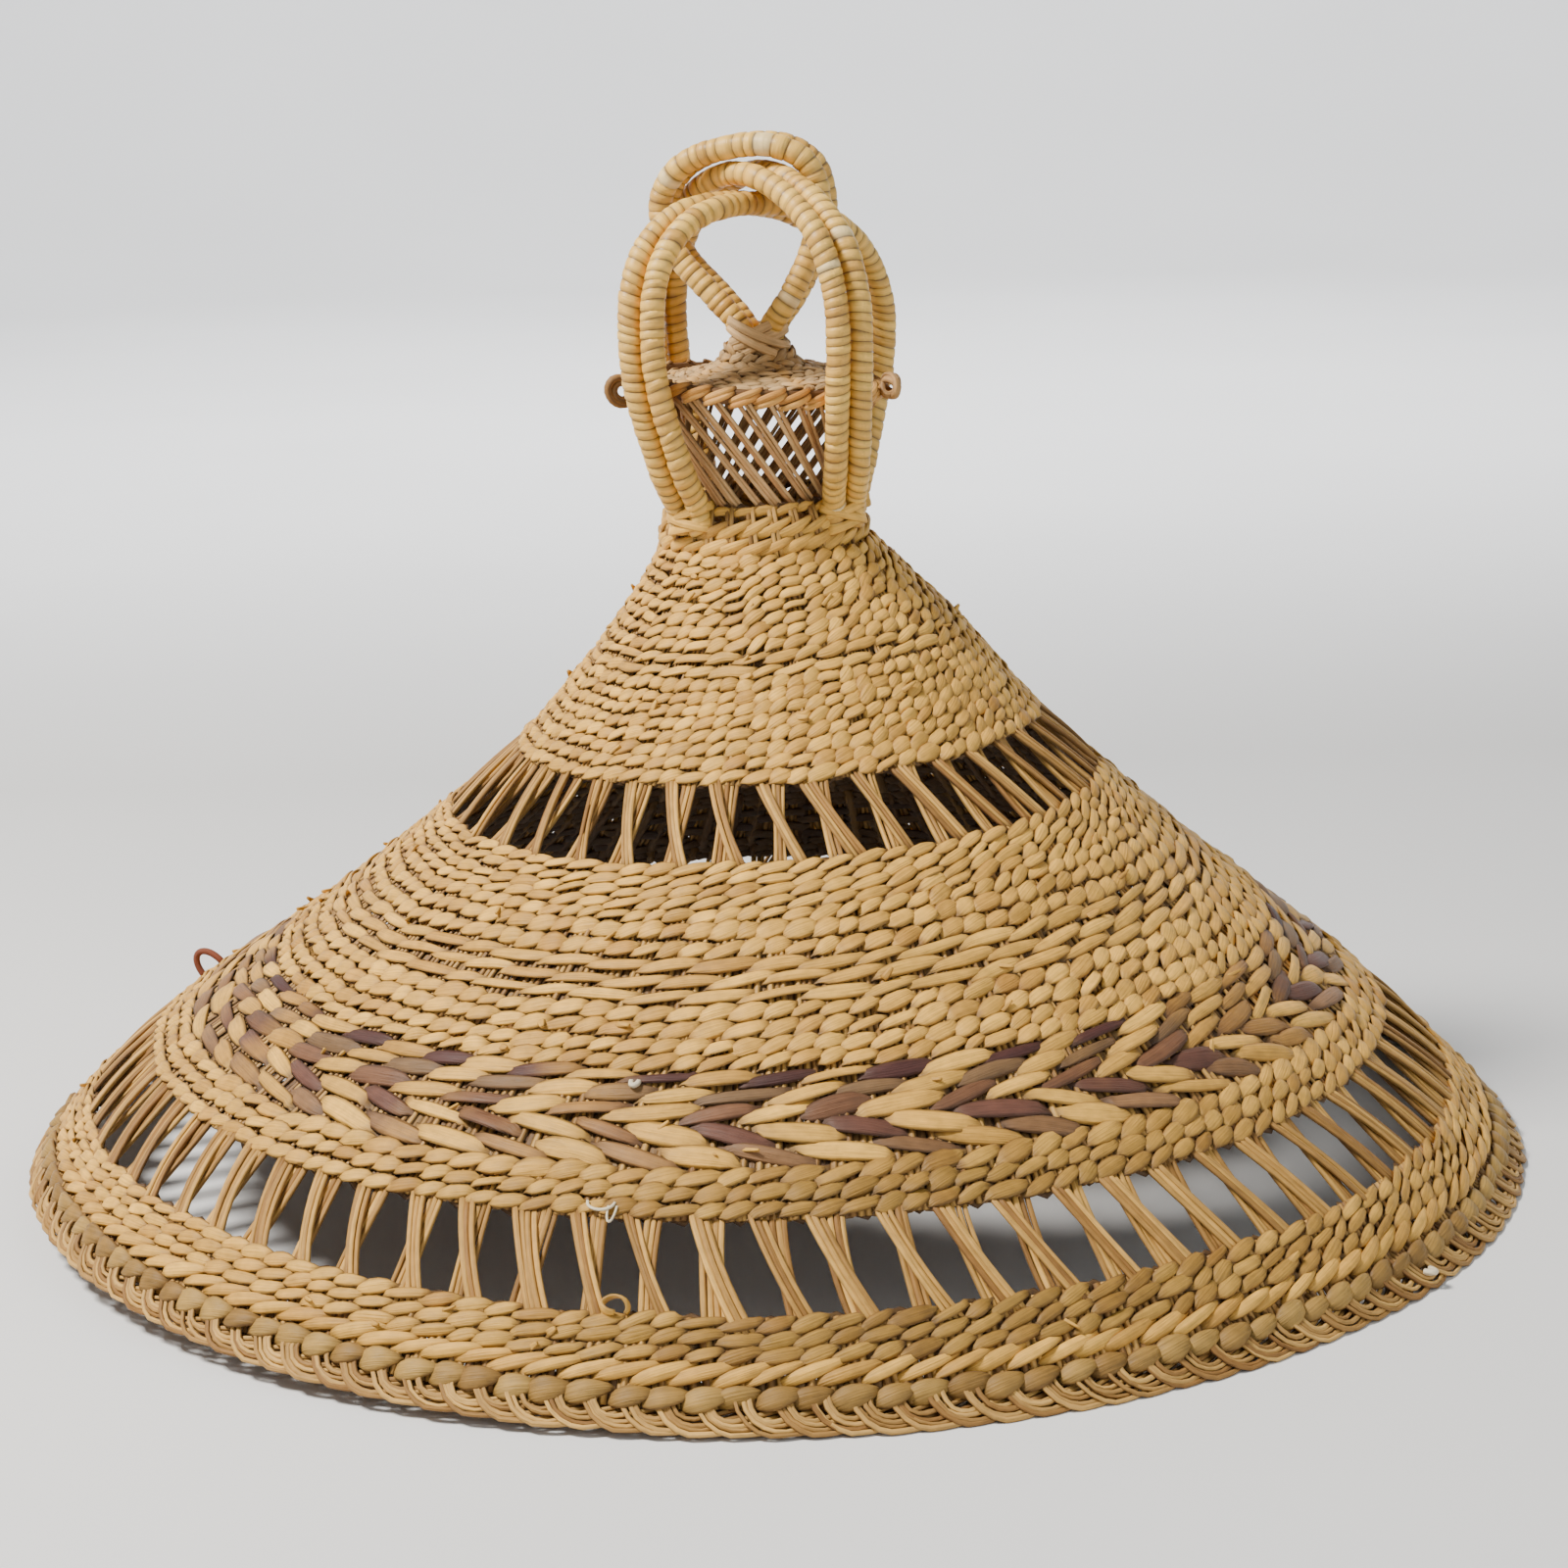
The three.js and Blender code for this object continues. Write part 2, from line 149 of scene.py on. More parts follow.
def unit(vectors):
    return vectors / np.maximum(np.linalg.norm(vectors, axis=-1, keepdims=True), 1e-9)


# A strip's section is a flattened round, squarer than an ellipse, and painted shade darkens its long edges
# like shadowed seams.
FLAT_EDGE = 0.7
EDGE_SHADE = 0.7


class Strips:
    """The strips of one piece, gathered as arrays that become one mesh."""

    def __init__(self):
        self.points, self.faces, self.hues, self.grains, self.painted_shades = [], [], [], [], []
        self.total = 0
        self.strips = 0

    def add(self, line, facing, width, thickness, hue, tuck=0.0, sides=6, closed=False, skew=None):
        """Strips along lines of points, shape (strips, steps, 3), each facing the given way.

        The value after the hue is how much painted shade darkens a place towards a dark brown; without
        skew, the long edges get more of it, as shadowed seams. With skew, the rings lean along the line by
        that much, as turns of a winding do.
        """
        strips, steps, _ = line.shape
        ahead = np.roll(line, -1, axis=1) - np.roll(line, 1, axis=1)
        if not closed:
            ahead[:, 0] = line[:, 1] - line[:, 0]
            ahead[:, -1] = line[:, -1] - line[:, -2]
        ahead = unit(ahead)
        across = unit(np.cross(facing, ahead))
        out = np.cross(ahead, across)
        turn = FULL_TURN * np.arange(sides) / sides
        squareness = FLAT_EDGE if skew is None else 1.0
        sideways = np.sign(np.cos(turn)) * np.abs(np.cos(turn)) ** squareness
        outwards = np.sign(np.sin(turn)) * np.abs(np.sin(turn)) ** squareness
        wide = np.broadcast_to(width, (strips, steps))[:, :, None] / 2 * sideways
        thick = np.broadcast_to(thickness, (strips, steps))[:, :, None] / 2 * outwards
        rings = line[:, :, None] + across[:, :, None] * wide[..., None] + out[:, :, None] * thick[..., None]
        if skew is not None:
            rings = rings + ahead[:, :, None] * (skew[:, :, None] * np.sin(turn))[..., None]
        index = self.total + np.arange(strips * steps * sides).reshape(strips, steps, sides)
        here = index if closed else index[:, :-1]
        there = np.roll(index, -1, axis=1) if closed else index[:, 1:]
        quads = [here, np.roll(here, -1, axis=2), np.roll(there, -1, axis=2), there]
        self.faces.append(np.stack(quads, axis=-1).reshape(-1, 4))
        if not closed:
            for first in range(1, sides - 1, 2):
                fan = [0, first, first + 1, first + 2]
                self.faces.append(index[:, -1][:, fan])
                self.faces.append(index[:, 0][:, fan[::-1]])
        self.total += strips * steps * sides
        self.points.append(rings.reshape(-1, 3))
        pace = np.linalg.norm(np.diff(line, axis=1), axis=-1)
        along = np.concatenate([np.zeros((strips, 1)), np.cumsum(pace, axis=1)], axis=1)
        along = np.broadcast_to(along[:, :, None], wide.shape)
        number = self.strips + np.arange(strips)[:, None, None] + np.zeros(wide.shape)
        girth = np.broadcast_to(turn * np.mean(width) / 2, wide.shape)
        grain = (along, wide, number) if skew is None else (girth, along, number)
        self.grains.append(np.stack(grain, axis=-1).reshape(-1, 3))
        self.strips += strips
        hue = np.broadcast_to(hue, (strips, steps, 3))[:, :, None]
        self.hues.append(np.broadcast_to(hue, (strips, steps, sides, 3)).reshape(-1, 3))
        # Painted shade on the long edges, for the shadowed seams between strips.
        edge = 0.0 if skew is not None else EDGE_SHADE * np.cos(turn) ** 4
        tuck = np.clip(np.broadcast_to(tuck, (strips, steps))[:, :, None] + edge, 0, 1)
        self.painted_shades.append(np.broadcast_to(tuck, (strips, steps, sides)).reshape(-1))

    def piece(self, name, material):
        """One mesh object of all strips so far, in metres."""
        mesh = bpy.data.meshes.new(name)
        mesh.from_pydata(np.concatenate(self.points) * MILLIMETRE, [], np.concatenate(self.faces))
        mesh.shade_smooth()
        hue = np.concatenate(self.hues)
        hue = np.concatenate([hue, np.ones((len(hue), 1))], axis=1)
        layers = [
            ("hue", "FLOAT_COLOR", "color", hue),
            ("grain", "FLOAT_VECTOR", "vector", np.concatenate(self.grains)),
            ("tuck", "FLOAT", "value", np.concatenate(self.painted_shades)),
        ]
        for layer, kind, field, values in layers:
            attribute = mesh.attributes.new(layer, kind, "POINT")
            attribute.data.foreach_set(field, values.astype(np.float32).ravel())
        mesh.materials.append(material)
        made = bpy.data.objects.new(name, mesh)
        bpy.context.scene.collection.objects.link(made)
        return made


class Wire:
    """A value, colour or vector in a material. A sum written with it becomes a node."""

    def __init__(self, finish, socket):
        self.finish = finish
        self.socket = socket

    def sum(self, operation, first, second):
        return self.finish.node("ShaderNodeMath", {"operation": operation}, {0: first, 1: second})

    def __add__(self, other):
        return self.sum("ADD", self, other)

    def __sub__(self, other):
        return self.sum("SUBTRACT", self, other)

    def __rsub__(self, other):
        return self.sum("SUBTRACT", other, self)

    def __mul__(self, other):
        return self.sum("MULTIPLY", self, other)

    def __pow__(self, other):
        return self.sum("POWER", self, other)

    __radd__ = __add__
    __rmul__ = __mul__


class Finish:
    """A procedural material while it is put together."""

    def __init__(self, name):
        self.material = bpy.data.materials.new(name)
        self.material.use_nodes = True
        self.nodes = self.material.node_tree.nodes
        self.nodes.clear()

    def node(self, kind, settings, values, output=0):
        made = self.nodes.new(kind)
        for setting, value in settings.items():
            if setting == "stops":
                for element, (place, shade) in zip(made.color_ramp.elements, value):
                    element.position = place
                    element.color = (shade, shade, shade, 1)
            else:
                setattr(made, setting, value)
        for name, value in values.items():
            if isinstance(value, Wire):
                self.material.node_tree.links.new(value.socket, made.inputs[name])
            else:
                made.inputs[name].default_value = value
        return Wire(self, made.outputs[output]) if len(made.outputs) else None

    def mapped(self, vector, stretch):
        return self.node("ShaderNodeVectorMath", {"operation": "MULTIPLY"}, {0: vector, 1: stretch})

    def noise(self, vector, scale, detail=2.0):
        values = {"Vector": vector, "Scale": scale, "Detail": detail}
        return self.node("ShaderNodeTexNoise", {}, values, "Fac")


# The dark brown that painted shade blends towards in creases, seams and tucked ends.
PAINTED_SHADE_BROWN = linear(78, 57, 42)
FIBRE_STRETCH = (0.1, 2.4, 7.3)
BLOTCH_STRETCH = (0.3, 0.4, 3.1)
FLECK_STRETCH = (0.8, 1.9, 5.7)
FLECK_DARKNESS = 0.22
FIBRE_HEIGHT = 0.0004


def grass(name, streak, roughness, relief, crease_shade=0.85, gloss=0.3):
    """Dry grass: fibres run along each strip, and painted shade darkens creases and tucked ends towards a
    dark brown.
    """
    finish = Finish(name)
    hue = finish.node("ShaderNodeAttribute", {"attribute_name": "hue"}, {}, "Color")
    grain = finish.node("ShaderNodeAttribute", {"attribute_name": "grain"}, {}, "Vector")
    tuck = finish.node("ShaderNodeAttribute", {"attribute_name": "tuck"}, {}, "Fac")
    fibre = finish.noise(finish.mapped(grain, FIBRE_STRETCH), 1.0, 4.0)
    blotch = finish.noise(finish.mapped(grain, BLOTCH_STRETCH), 1.0)
    fleck = finish.noise(finish.mapped(grain, FLECK_STRETCH), 1.0)
    speck = finish.node("ShaderNodeValToRGB", {"stops": ((0.70, 0.0), (0.82, 1.0))}, {"Fac": fleck})
    shade = 1 + streak * (fibre - 0.5) + streak * 0.8 * (blotch - 0.5) - speck * FLECK_DARKNESS
    base = finish.node("ShaderNodeVectorMath", {"operation": "SCALE"}, {0: hue, "Scale": shade})
    # Painted shade: creases and tucked ends are blended towards the dark brown.
    shade_mix = {0: tuck**1.6 * crease_shade, 6: base, 7: (*PAINTED_SHADE_BROWN, 1)}
    colour = finish.node("ShaderNodeMix", {"data_type": "RGBA"}, shade_mix, 2)
    raised = {"Strength": relief, "Distance": FIBRE_HEIGHT, "Height": fibre}
    bump = finish.node("ShaderNodeBump", {}, raised)
    surface = {
        "Base Color": colour,
        "Roughness": roughness + 0.25 * (blotch - 0.5),
        "Normal": bump,
        "Specular IOR Level": gloss,
    }
    shader = finish.node("ShaderNodeBsdfPrincipled", {}, surface)
    finish.node("ShaderNodeOutputMaterial", {}, {"Surface": shader})
    return finish.material


pale_grass = grass("pale_twined_grass", 0.85, 0.55, 0.8, 0.95)
PALE_STRAW = linear(226, 174, 78)
TAWNY_STRAW = linear(186, 136, 58)

# A stitch passes over as many stakes as its row's span, and climbs by twice its lean. fill is its
# width against the row's spacing, and a tone below 1 paints shade on the row at the front of the hat,
# where the low front lies in shadow.
Row = namedtuple("Row", "height stakes span start lean fill tone", defaults=[1.0, 1.0])
UPPER_ROWS = [
    Row(118.4, 76, 1, 0, 1.35),
    Row(121.2, 76, 1, 0, 1.35),
    Row(124.1, 76, 1, 0, 1.45),
    Row(127.0, 76, 1, 0, 1.45),
    Row(129.8, 76, 1, 0, 1.45),
    Row(132.6, 76, 1, 0, 1.35),
    Row(135.4, 76, 1, 0, 1.25),
    Row(138.2, 76, 1, 0, 1.25),
    Row(141.1, 76, 2, 0, 0.9, 0.8),
    Row(144.0, 76, 2, 1, 0.9, 0.8),
    Row(146.8, 52, 1, 0, 1.45),
    Row(149.5, 52, 1, 0, 1.35),
    Row(152.2, 44, 1, 0, 1.35),
    Row(154.9, 44, 1, 0, 1.35),
    Row(157.6, 40, 1, 0, 1.35),
    Row(160.2, 40, 1, 0, 1.25),
    Row(162.8, 36, 1, 0, 1.25),
    Row(165.3, 36, 1, 0, 1.25),
]

# The points of a strip along one stitch: OUTER_PARTS run over its stake, as far as the reach, and
# INNER_PARTS behind the next stake. Long stitches have more of them.
STITCH_REACH = 0.64
OUTER_PARTS = (-0.62, -0.54, -0.38, -0.14, 0.14, 0.38, 0.54, 0.62)
OUTER_PARTS_LONG = (-0.62, -0.57, -0.48, -0.34, -0.16, 0.0, 0.16, 0.34, 0.48, 0.57, 0.62)
INNER_PARTS = (0.72, 1.0, 1.28)
STRAND_SIDES = 6
STRAND_THICKNESS = 1.0
STRAND_SWING = 1.0
STRAND_DEPTH = 0.75
CREST_FULLNESS = 0.48
TIP_WIDTH = 0.24
TIP_THICKNESS = 0.6
LONG_BLUNTNESS = 1.9
SHORT_BLUNTNESS = 1.1
INNER_WIDTH = 1.15
# The inner halves of the strips, behind the stakes, get painted shade: a darker hue and more crease shade.
INNER_SHADE = 0.4
INNER_CREASE_SHADE = 0.85
ROW_FILL = 0.99
STEEP_ANGLE = math.radians(-20)
STEEPER = 0.4
FADE = 0.55
MOST_FADED = 0.6
# Where the painted shade on the low front rows is deepest, and how narrowly it spreads around the hat.
FRONT_SHADE_ANGLE = math.radians(-78)
FRONT_SHADE_NARROWNESS = 20

# How much stitches differ: sideways, up and down, in width, in swell and in how they are turned.
SHIFT_SPREAD = 0.09
HEAVE_SPREAD = 0.26
PLUMP_SPREAD = 0.18
BULGE_SPREAD = 0.15
ROLL_SPREAD = 0.22

Rib = namedtuple("Rib", "angle height width length rise steeper")
FRONT_RIB = Rib(math.radians(-97), 151, 4.5, 9, 1.5, 0.7)


def straw_hues(draw, count):
    """Pale and tawny strips at random, one colour for each stitch."""
    share = np.clip(draw.normal(0.33, 0.3, (count, 1)), 0, 1.2)
    return mixed(PALE_STRAW, TAWNY_STRAW, share) * draw.uniform(0.86, 1.12, (count, 1))


def rib(angle, height):
    """The share, from 0 to 1, of the short rib that runs up the front of the upper cone."""
    turn = np.angle(np.exp(1j * (angle - FRONT_RIB.angle)))
    side = turn * cone_size(height, "radius") / FRONT_RIB.width
    climb = (height - FRONT_RIB.height) / FRONT_RIB.length
    return np.exp(-(side**2) - climb**2)


def twine(strips, place, turns, height, row, dyes=(None, None), swing=STRAND_SWING):
    """Two strips that wind round each other over the stakes of one row, right round the hat.

    place gives points by angle, uphill and outward; turns is the width of the row.
    """
    draw = np.random.default_rng(int(height * 100) + row.stakes)
    count = row.stakes // row.span
    every = np.arange(count)
    shifts = draw.normal(0, SHIFT_SPREAD, count)
    heaves = draw.normal(0, HEAVE_SPREAD, count)
    plump = np.clip(draw.normal(1, PLUMP_SPREAD, count), 0.6, 1.25)
    bulge = np.clip(draw.normal(1, BULGE_SPREAD, count), 0.65, 1.35)
    leans = draw.uniform(0.75, 1.25, count)
    pales = straw_hues(draw, count)
    rolls = draw.normal(0, ROLL_SPREAD, count)
    long_stitch = row.span > 1
    period = np.array([*(OUTER_PARTS_LONG if long_stitch else OUTER_PARTS), *INNER_PARTS])
    bluntness = LONG_BLUNTNESS if long_stitch else SHORT_BLUNTNESS
    for strand in (0, 1):
        stake = strand + 2 * np.arange(count // 2)
        at_stake = (stake[:, None] + period).ravel()
        along = np.tile((period + 1) % 2 - 1, count // 2)
        stitch = np.round(at_stake).astype(int) % count
        shift = np.interp(at_stake - 0.5, every, shifts, period=count)
        heave = np.interp(at_stake - 0.5, every, heaves, period=count)
        near = np.clip(1 - (np.abs(along) / STITCH_REACH) ** 2, 0, 1)
        outside = np.abs(along) < STITCH_REACH
        angle = (row.start + (at_stake + shift) * row.span) / row.stakes * FULL_TURN
        angle = angle + wander(angle, height)
        fall = np.sign(along) * (1 - np.abs(along)) / (1 - STITCH_REACH)
        climb = np.where(outside, along / STITCH_REACH, fall)
        lean = row.lean * leans[stitch] * (1 + STEEPER * np.cos(angle - STEEP_ANGLE))
        ridge = rib(angle, height)
        uphill = lean * (1 + FRONT_RIB.steeper * ridge) * climb + heave + waver(angle, height)
        crest = near**CREST_FULLNESS * swing * bulge[stitch]
        outward = np.where(outside, crest, -STRAND_DEPTH) - WALL / 2
        outward = outward + FRONT_RIB.rise * ridge
        line = place(angle, uphill, outward)
        facing = place(angle, uphill, outward + 1) - line
        rolled = (rolls[stitch] * near)[:, None] * (place(angle, uphill + 1, outward) - line)
        facing = unit(facing + rolled)
        leaf = TIP_WIDTH + (1 - TIP_WIDTH) * near ** (0.8 / bluntness) * plump[stitch]
        breadth = turns * np.where(outside, leaf, INNER_WIDTH)
        thickness = STRAND_THICKNESS * (TIP_THICKNESS + (1 - TIP_THICKNESS) * near)
        hue = pales[stitch]
        if dyes[strand] is not None:
            fade = np.clip(FADE * hand(angle, height, 11), 0, MOST_FADED)[:, None]
            hue = mixed(dyes[strand], TAWNY_STRAW, fade) * bulge[stitch][:, None]
        # Painted shade: a row with a tone below 1 is darkened around the front of the hat.
        front_shade = 1 - (1 - row.tone) * np.cos((angle - FRONT_SHADE_ANGLE) / 2) ** FRONT_SHADE_NARROWNESS
        hue = hue * np.where(outside, front_shade, INNER_SHADE)[:, None]
        # Painted shade darkens each stitch towards the ends where it dives in behind the stakes.
        tuck = np.where(outside, 1 - near**0.5, INNER_CREASE_SHADE)
        strips.add(line[None], facing[None], breadth[None], thickness[None], hue[None], tuck[None],
                   STRAND_SIDES, closed=True)


def twine_cone(strips, rows, edges, dyed=None):
    """Rows of twining on the cone. Each is as wide as the way to its neighbours allows."""
    heights = [edges[0], *(row.height for row in rows), edges[1]]
    for number, row in enumerate(rows):
        below = heights[number + 1] - heights[number]
        above = heights[number + 2] - heights[number + 1]
        if number == 0:
            below *= 2
        if number == len(rows) - 1:
            above *= 2
        width = (below + above) / 2 * slant(row.height) * row.fill * ROW_FILL
        dyes = (None, None) if dyed is None else dyed[number]
        twine(strips, at_height(row.height), width, row.height, row, dyes)


StakePart = namedtuple("StakePart", "offset width inward tuck")
# The last part is a dark strip set deeper, painted shade that fills the gaps between stakes; the stalks get
# a little too.
STAKE_PARTS = [
    StakePart(-0.24, 0.26, 0.0, 0.3),
    StakePart(0.0, 0.26, 0.0, 0.3),
    StakePart(0.24, 0.26, 0.0, 0.3),
    StakePart(0.5, 0.5, 0.7, 1.0),
]
STAKE_THICKNESS = 0.9
STAKE_STRAY = 0.0012
STAKE_DEPTH_SPREAD = 0.12
STAKE_BROWN = linear(138, 97, 48)
STAKE_TAN = linear(214, 166, 86)


def stake_hues(draw, count):
    share = draw.uniform(0, 1, (count, 1, 1))
    return mixed(STAKE_BROWN, STAKE_TAN, share) * draw.uniform(0.85, 1.12, (count, 1, 1))


def stakes(strips, count, low, high, steps):
    """Upright stakes inside the twining: three thin stalks each, and behind, between them, a strip painted
    dark as the shade seen through the gaps.
    """
    draw = np.random.default_rng(count + int(low))
    height = np.linspace(low, high, steps)[None, :]
    pitch = FULL_TURN / count
    for part in STAKE_PARTS:
        angle = (np.arange(count)[:, None] + part.offset) * pitch + draw.normal(0, STAKE_STRAY, (count, 1))
        angle = angle + wander(angle, height)
        outward = -WALL / 2 - part.inward + draw.normal(0, STAKE_DEPTH_SPREAD, (count, 1))
        line = on_cone(height, angle, 0, outward)
        facing = unit(on_cone(height, angle, 0, 1) - on_cone(height, angle))
        width = cone_size(height, "radius") * pitch * part.width * np.ones((count, 1))
        strips.add(line, facing, width, STAKE_THICKNESS, stake_hues(draw, count), part.tuck, 4)


upper = Strips()
twine_cone(upper, UPPER_ROWS, (116.9, 167.0))
upper_cone = upper.piece("upper_cone_twining", pale_grass)
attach(upper_cone, "root")
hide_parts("upper_cone")

stalks = grass("bare_grass_stalks", 0.5, 0.5, 0.7, 0.7)
upper_warp = Strips()
stakes(upper_warp, 76, 117.0, 145.0, 7)
stakes(upper_warp, 52, 145.0, 151.0, 3)
stakes(upper_warp, 44, 151.0, 156.0, 3)
stakes(upper_warp, 40, 156.0, 161.5, 3)
stakes(upper_warp, 36, 161.5, 167.5, 3)
upper_stakes = upper_warp.piece("upper_cone_stakes", stalks)
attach(upper_stakes, "root")
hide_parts("upper_cone")


# Two open bands let light in. Between two bands of twining the stakes are left bare and cross in
# pairs, the one in front from top left to bottom right. Each stake is a bundle of three or four
# stalks that are pressed together at the crossing.
FRONT_LEAN = (-0.42, 0.43)
REAR_LEAN = (-0.05, 0.07)
CROSSING_DEPTH = 0.85
CROSSING_STRAY = 0.035
STALK_WIDTH = 1.25
STALK_THICKNESS = 1.2
STALK_PITCH = 0.97
SQUEEZE = 0.16
STALK_STRAY = 0.18
CROSSING_END_SHADE = 0.55
CROSSING_END_SHADE_FROM = 0.72
CROSSING_STEPS = 8


def crossings(strips, count, start, low, high, seed, stalk_width=STALK_WIDTH):
    """A band of crossed bundles between two heights; start and the leans are parts of a crossing."""
    draw = np.random.default_rng(seed)
    rise = np.linspace(0, 1, CROSSING_STEPS)[None, :]
    middle = np.sin(math.pi * rise)
    height = low + (high - low) * rise
    radius = cone_size(height, "radius")
    for lean, depth in ((FRONT_LEAN, CROSSING_DEPTH), (REAR_LEAN, -CROSSING_DEPTH)):
        centre = np.arange(count)[:, None] + start + draw.normal(0, 0.03, (count, 1))
        foot = centre + lean[1] + draw.normal(0, CROSSING_STRAY, (count, 1))
        head = centre + lean[0] + draw.normal(0, CROSSING_STRAY, (count, 1))
        bundle = mixed(foot, head, rise) / count * FULL_TURN
        stalks_here = draw.choice([3, 3, 3, 4], (count, 1))
        for stalk in range(4):
            here = np.flatnonzero(stalks_here[:, 0] > stalk)
            spread = (stalk - (stalks_here[here] - 1) / 2) * stalk_width * STALK_PITCH
            squeeze = 1 - SQUEEZE * middle + draw.normal(0, 0.05, (len(here), 1)) * np.cos(math.pi * rise)
            bow = draw.normal(0, STALK_STRAY, (len(here), 1)) * middle
            angle = bundle[here] + (spread * squeeze + bow) / radius
            angle = angle + wander(angle, height)
            outward = -WALL / 2 + depth * middle**0.8 + draw.normal(0, STALK_STRAY, (len(here), 1))
            uphill = waver(angle, height)
            line = on_cone(height, angle, uphill, outward)
            facing = unit(on_cone(height, angle, uphill, outward + 1) - line)
            width = stalk_width * draw.uniform(0.8, 1.15, (len(here), 1)) * np.ones_like(rise)
            # Painted shade darkens each stalk a little, and more at its ends, where it goes in among the
            # twined rows.
            near_end = np.clip(np.abs(2 * rise - 1) - CROSSING_END_SHADE_FROM, 0, 1) / (1 - CROSSING_END_SHADE_FROM)
            tuck = np.broadcast_to(CROSSING_END_SHADE * near_end + 0.1, width.shape)
            strips.add(line, facing, width, STALK_THICKNESS, stake_hues(draw, len(here)), tuck, 6)


crossed = grass("crossed_grass_stalks", 0.8, 0.58, 0.8, 0.85, 0.22)
upper_crossings = Strips()
crossings(upper_crossings, 38, 0.5, 99.6, 118.2, 31)
upper_windows = upper_crossings.piece("upper_crossed_stakes", crossed)
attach(upper_windows, "root")
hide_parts("upper_window_band")


# The middle of the cone has 22 rows of twining. Most strips pass over one stake, and three flat
# rows and the five coloured rows pass over two. In the coloured rows a pale strip is paired with
# one dyed purple or mauve, and their slant turns round below the third one, like arrows.
FOOT_ROWS = [
    Row(39.9, 148, 1, 0, 1.35, 1.0, 0.46),
    Row(42.9, 148, 1, 0, 1.35, 1.0, 0.46),
    Row(45.7, 120, 1, 0, 1.55, 1.0, 0.6),
]
COLOURED_ROWS = [
    Row(49.0, 120, 2, 0, -2.0, 0.88),
    Row(52.9, 120, 2, -1, -2.0, 0.88),
    Row(56.3, 120, 2, -2, 1.5, 0.92),
    Row(59.3, 120, 2, -1, 1.2, 0.92),
    Row(62.1, 120, 2, 0, 1.0, 0.92),
]
FLAT_ROWS = [
    Row(64.8, 120, 1, 0, 1.45),
    Row(67.4, 120, 1, 0, 1.45),
    Row(70.4, 104, 1, 0, 1.55),
    Row(73.3, 104, 1, 0, 1.45),
    Row(76.2, 104, 2, 0, 1.0, 0.8),
    Row(79.0, 104, 2, 1, 1.0, 0.8),
    Row(81.8, 104, 2, 0, 1.0, 0.8),
]
SHOULDER_ROWS = [
    Row(84.8, 104, 1, 0, 1.45),
    Row(88.2, 104, 1, 0, 1.45),
    Row(91.2, 104, 1, 0, 1.35),
    Row(93.5, 76, 1, 0, 1.35),
    Row(95.7, 76, 1, 0, 1.35),
    Row(97.9, 76, 1, 0, 1.35),
    Row(100.1, 76, 1, 0, 1.35),
]
DYES = [
    linear(124, 90, 58),
    linear(94, 60, 48),
    linear(110, 74, 50),
    linear(114, 86, 56),
    linear(70, 40, 36),
]
COLOURS = [(None, dye) for dye in DYES]
Band = namedtuple("Band", "name rows edges dyed")
MIDDLE_BANDS = [
    Band("middle_cone_foot_rows", FOOT_ROWS, (38.7, 47.3), None),
    Band("middle_cone_coloured_rows", COLOURED_ROWS, (47.3, 63.4), COLOURS),
    Band("middle_cone_flat_rows", FLAT_ROWS, (63.4, 83.3), None),
    Band("middle_cone_shoulder_rows", SHOULDER_ROWS, (83.3, 101.1), None),
]
for band in MIDDLE_BANDS:
    twining = Strips()
    twine_cone(twining, band.rows, band.edges, band.dyed)
    middle_rows = twining.piece(band.name, pale_grass)
    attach(middle_rows, "root")
    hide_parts("middle_cone")

middle_warp = Strips()
stakes(middle_warp, 148, 38.5, 44.5, 3)
stakes(middle_warp, 120, 44.0, 69.2, 7)
stakes(middle_warp, 104, 68.8, 92.6, 7)
stakes(middle_warp, 76, 92.0, 101.0, 4)
middle_stakes = middle_warp.piece("middle_cone_stakes", stalks)
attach(middle_stakes, "root")
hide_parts("middle_cone")


# The lower open band is made as the upper one is, from more and longer stakes in broader bundles.
# Its crossings come from between the foot rows above and are caught again by the brim's rows.
LOWER_STALK_WIDTH = 1.55
lower_crossings = Strips()
crossings(lower_crossings, 74, -0.33, 18.2, 40.2, 32, LOWER_STALK_WIDTH)
lower_windows = lower_crossings.piece("lower_crossed_stakes", crossed)
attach(lower_windows, "root")
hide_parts("lower_window_band")


# The brim has three twined rows, then a cord-like row of long slanting stitches that overlap by
# half, and a row of broad browner stitches where the stakes turn down into the border.
BRIM_ROWS = [
    Row(14.7, 148, 1, 0, 1.35, 1.0, 0.46),
    Row(17.6, 148, 1, 0, 1.35, 1.0, 0.46),
    Row(20.3, 148, 1, 0, 1.35, 1.0, 0.46),
]
RIM_COUNT = 144
Leaves = namedtuple("Leaves", "height half_length rise width thickness depth full")
CORD_ROW = Leaves(11.4, 1.0, 2.6, 3.5, 1.5, 0.5, 0.45)
TURNED_ROW = Leaves(6.9, 0.64, 1.3, 5.9, 1.9, 1.1, 0.7)
TURNED_BROWN = linear(134, 100, 46)
TURNED_TAN = linear(172, 136, 68)
LEAF_STEPS = 11
LEAF_TIP = 0.16
LEAF_SINK = 0.72


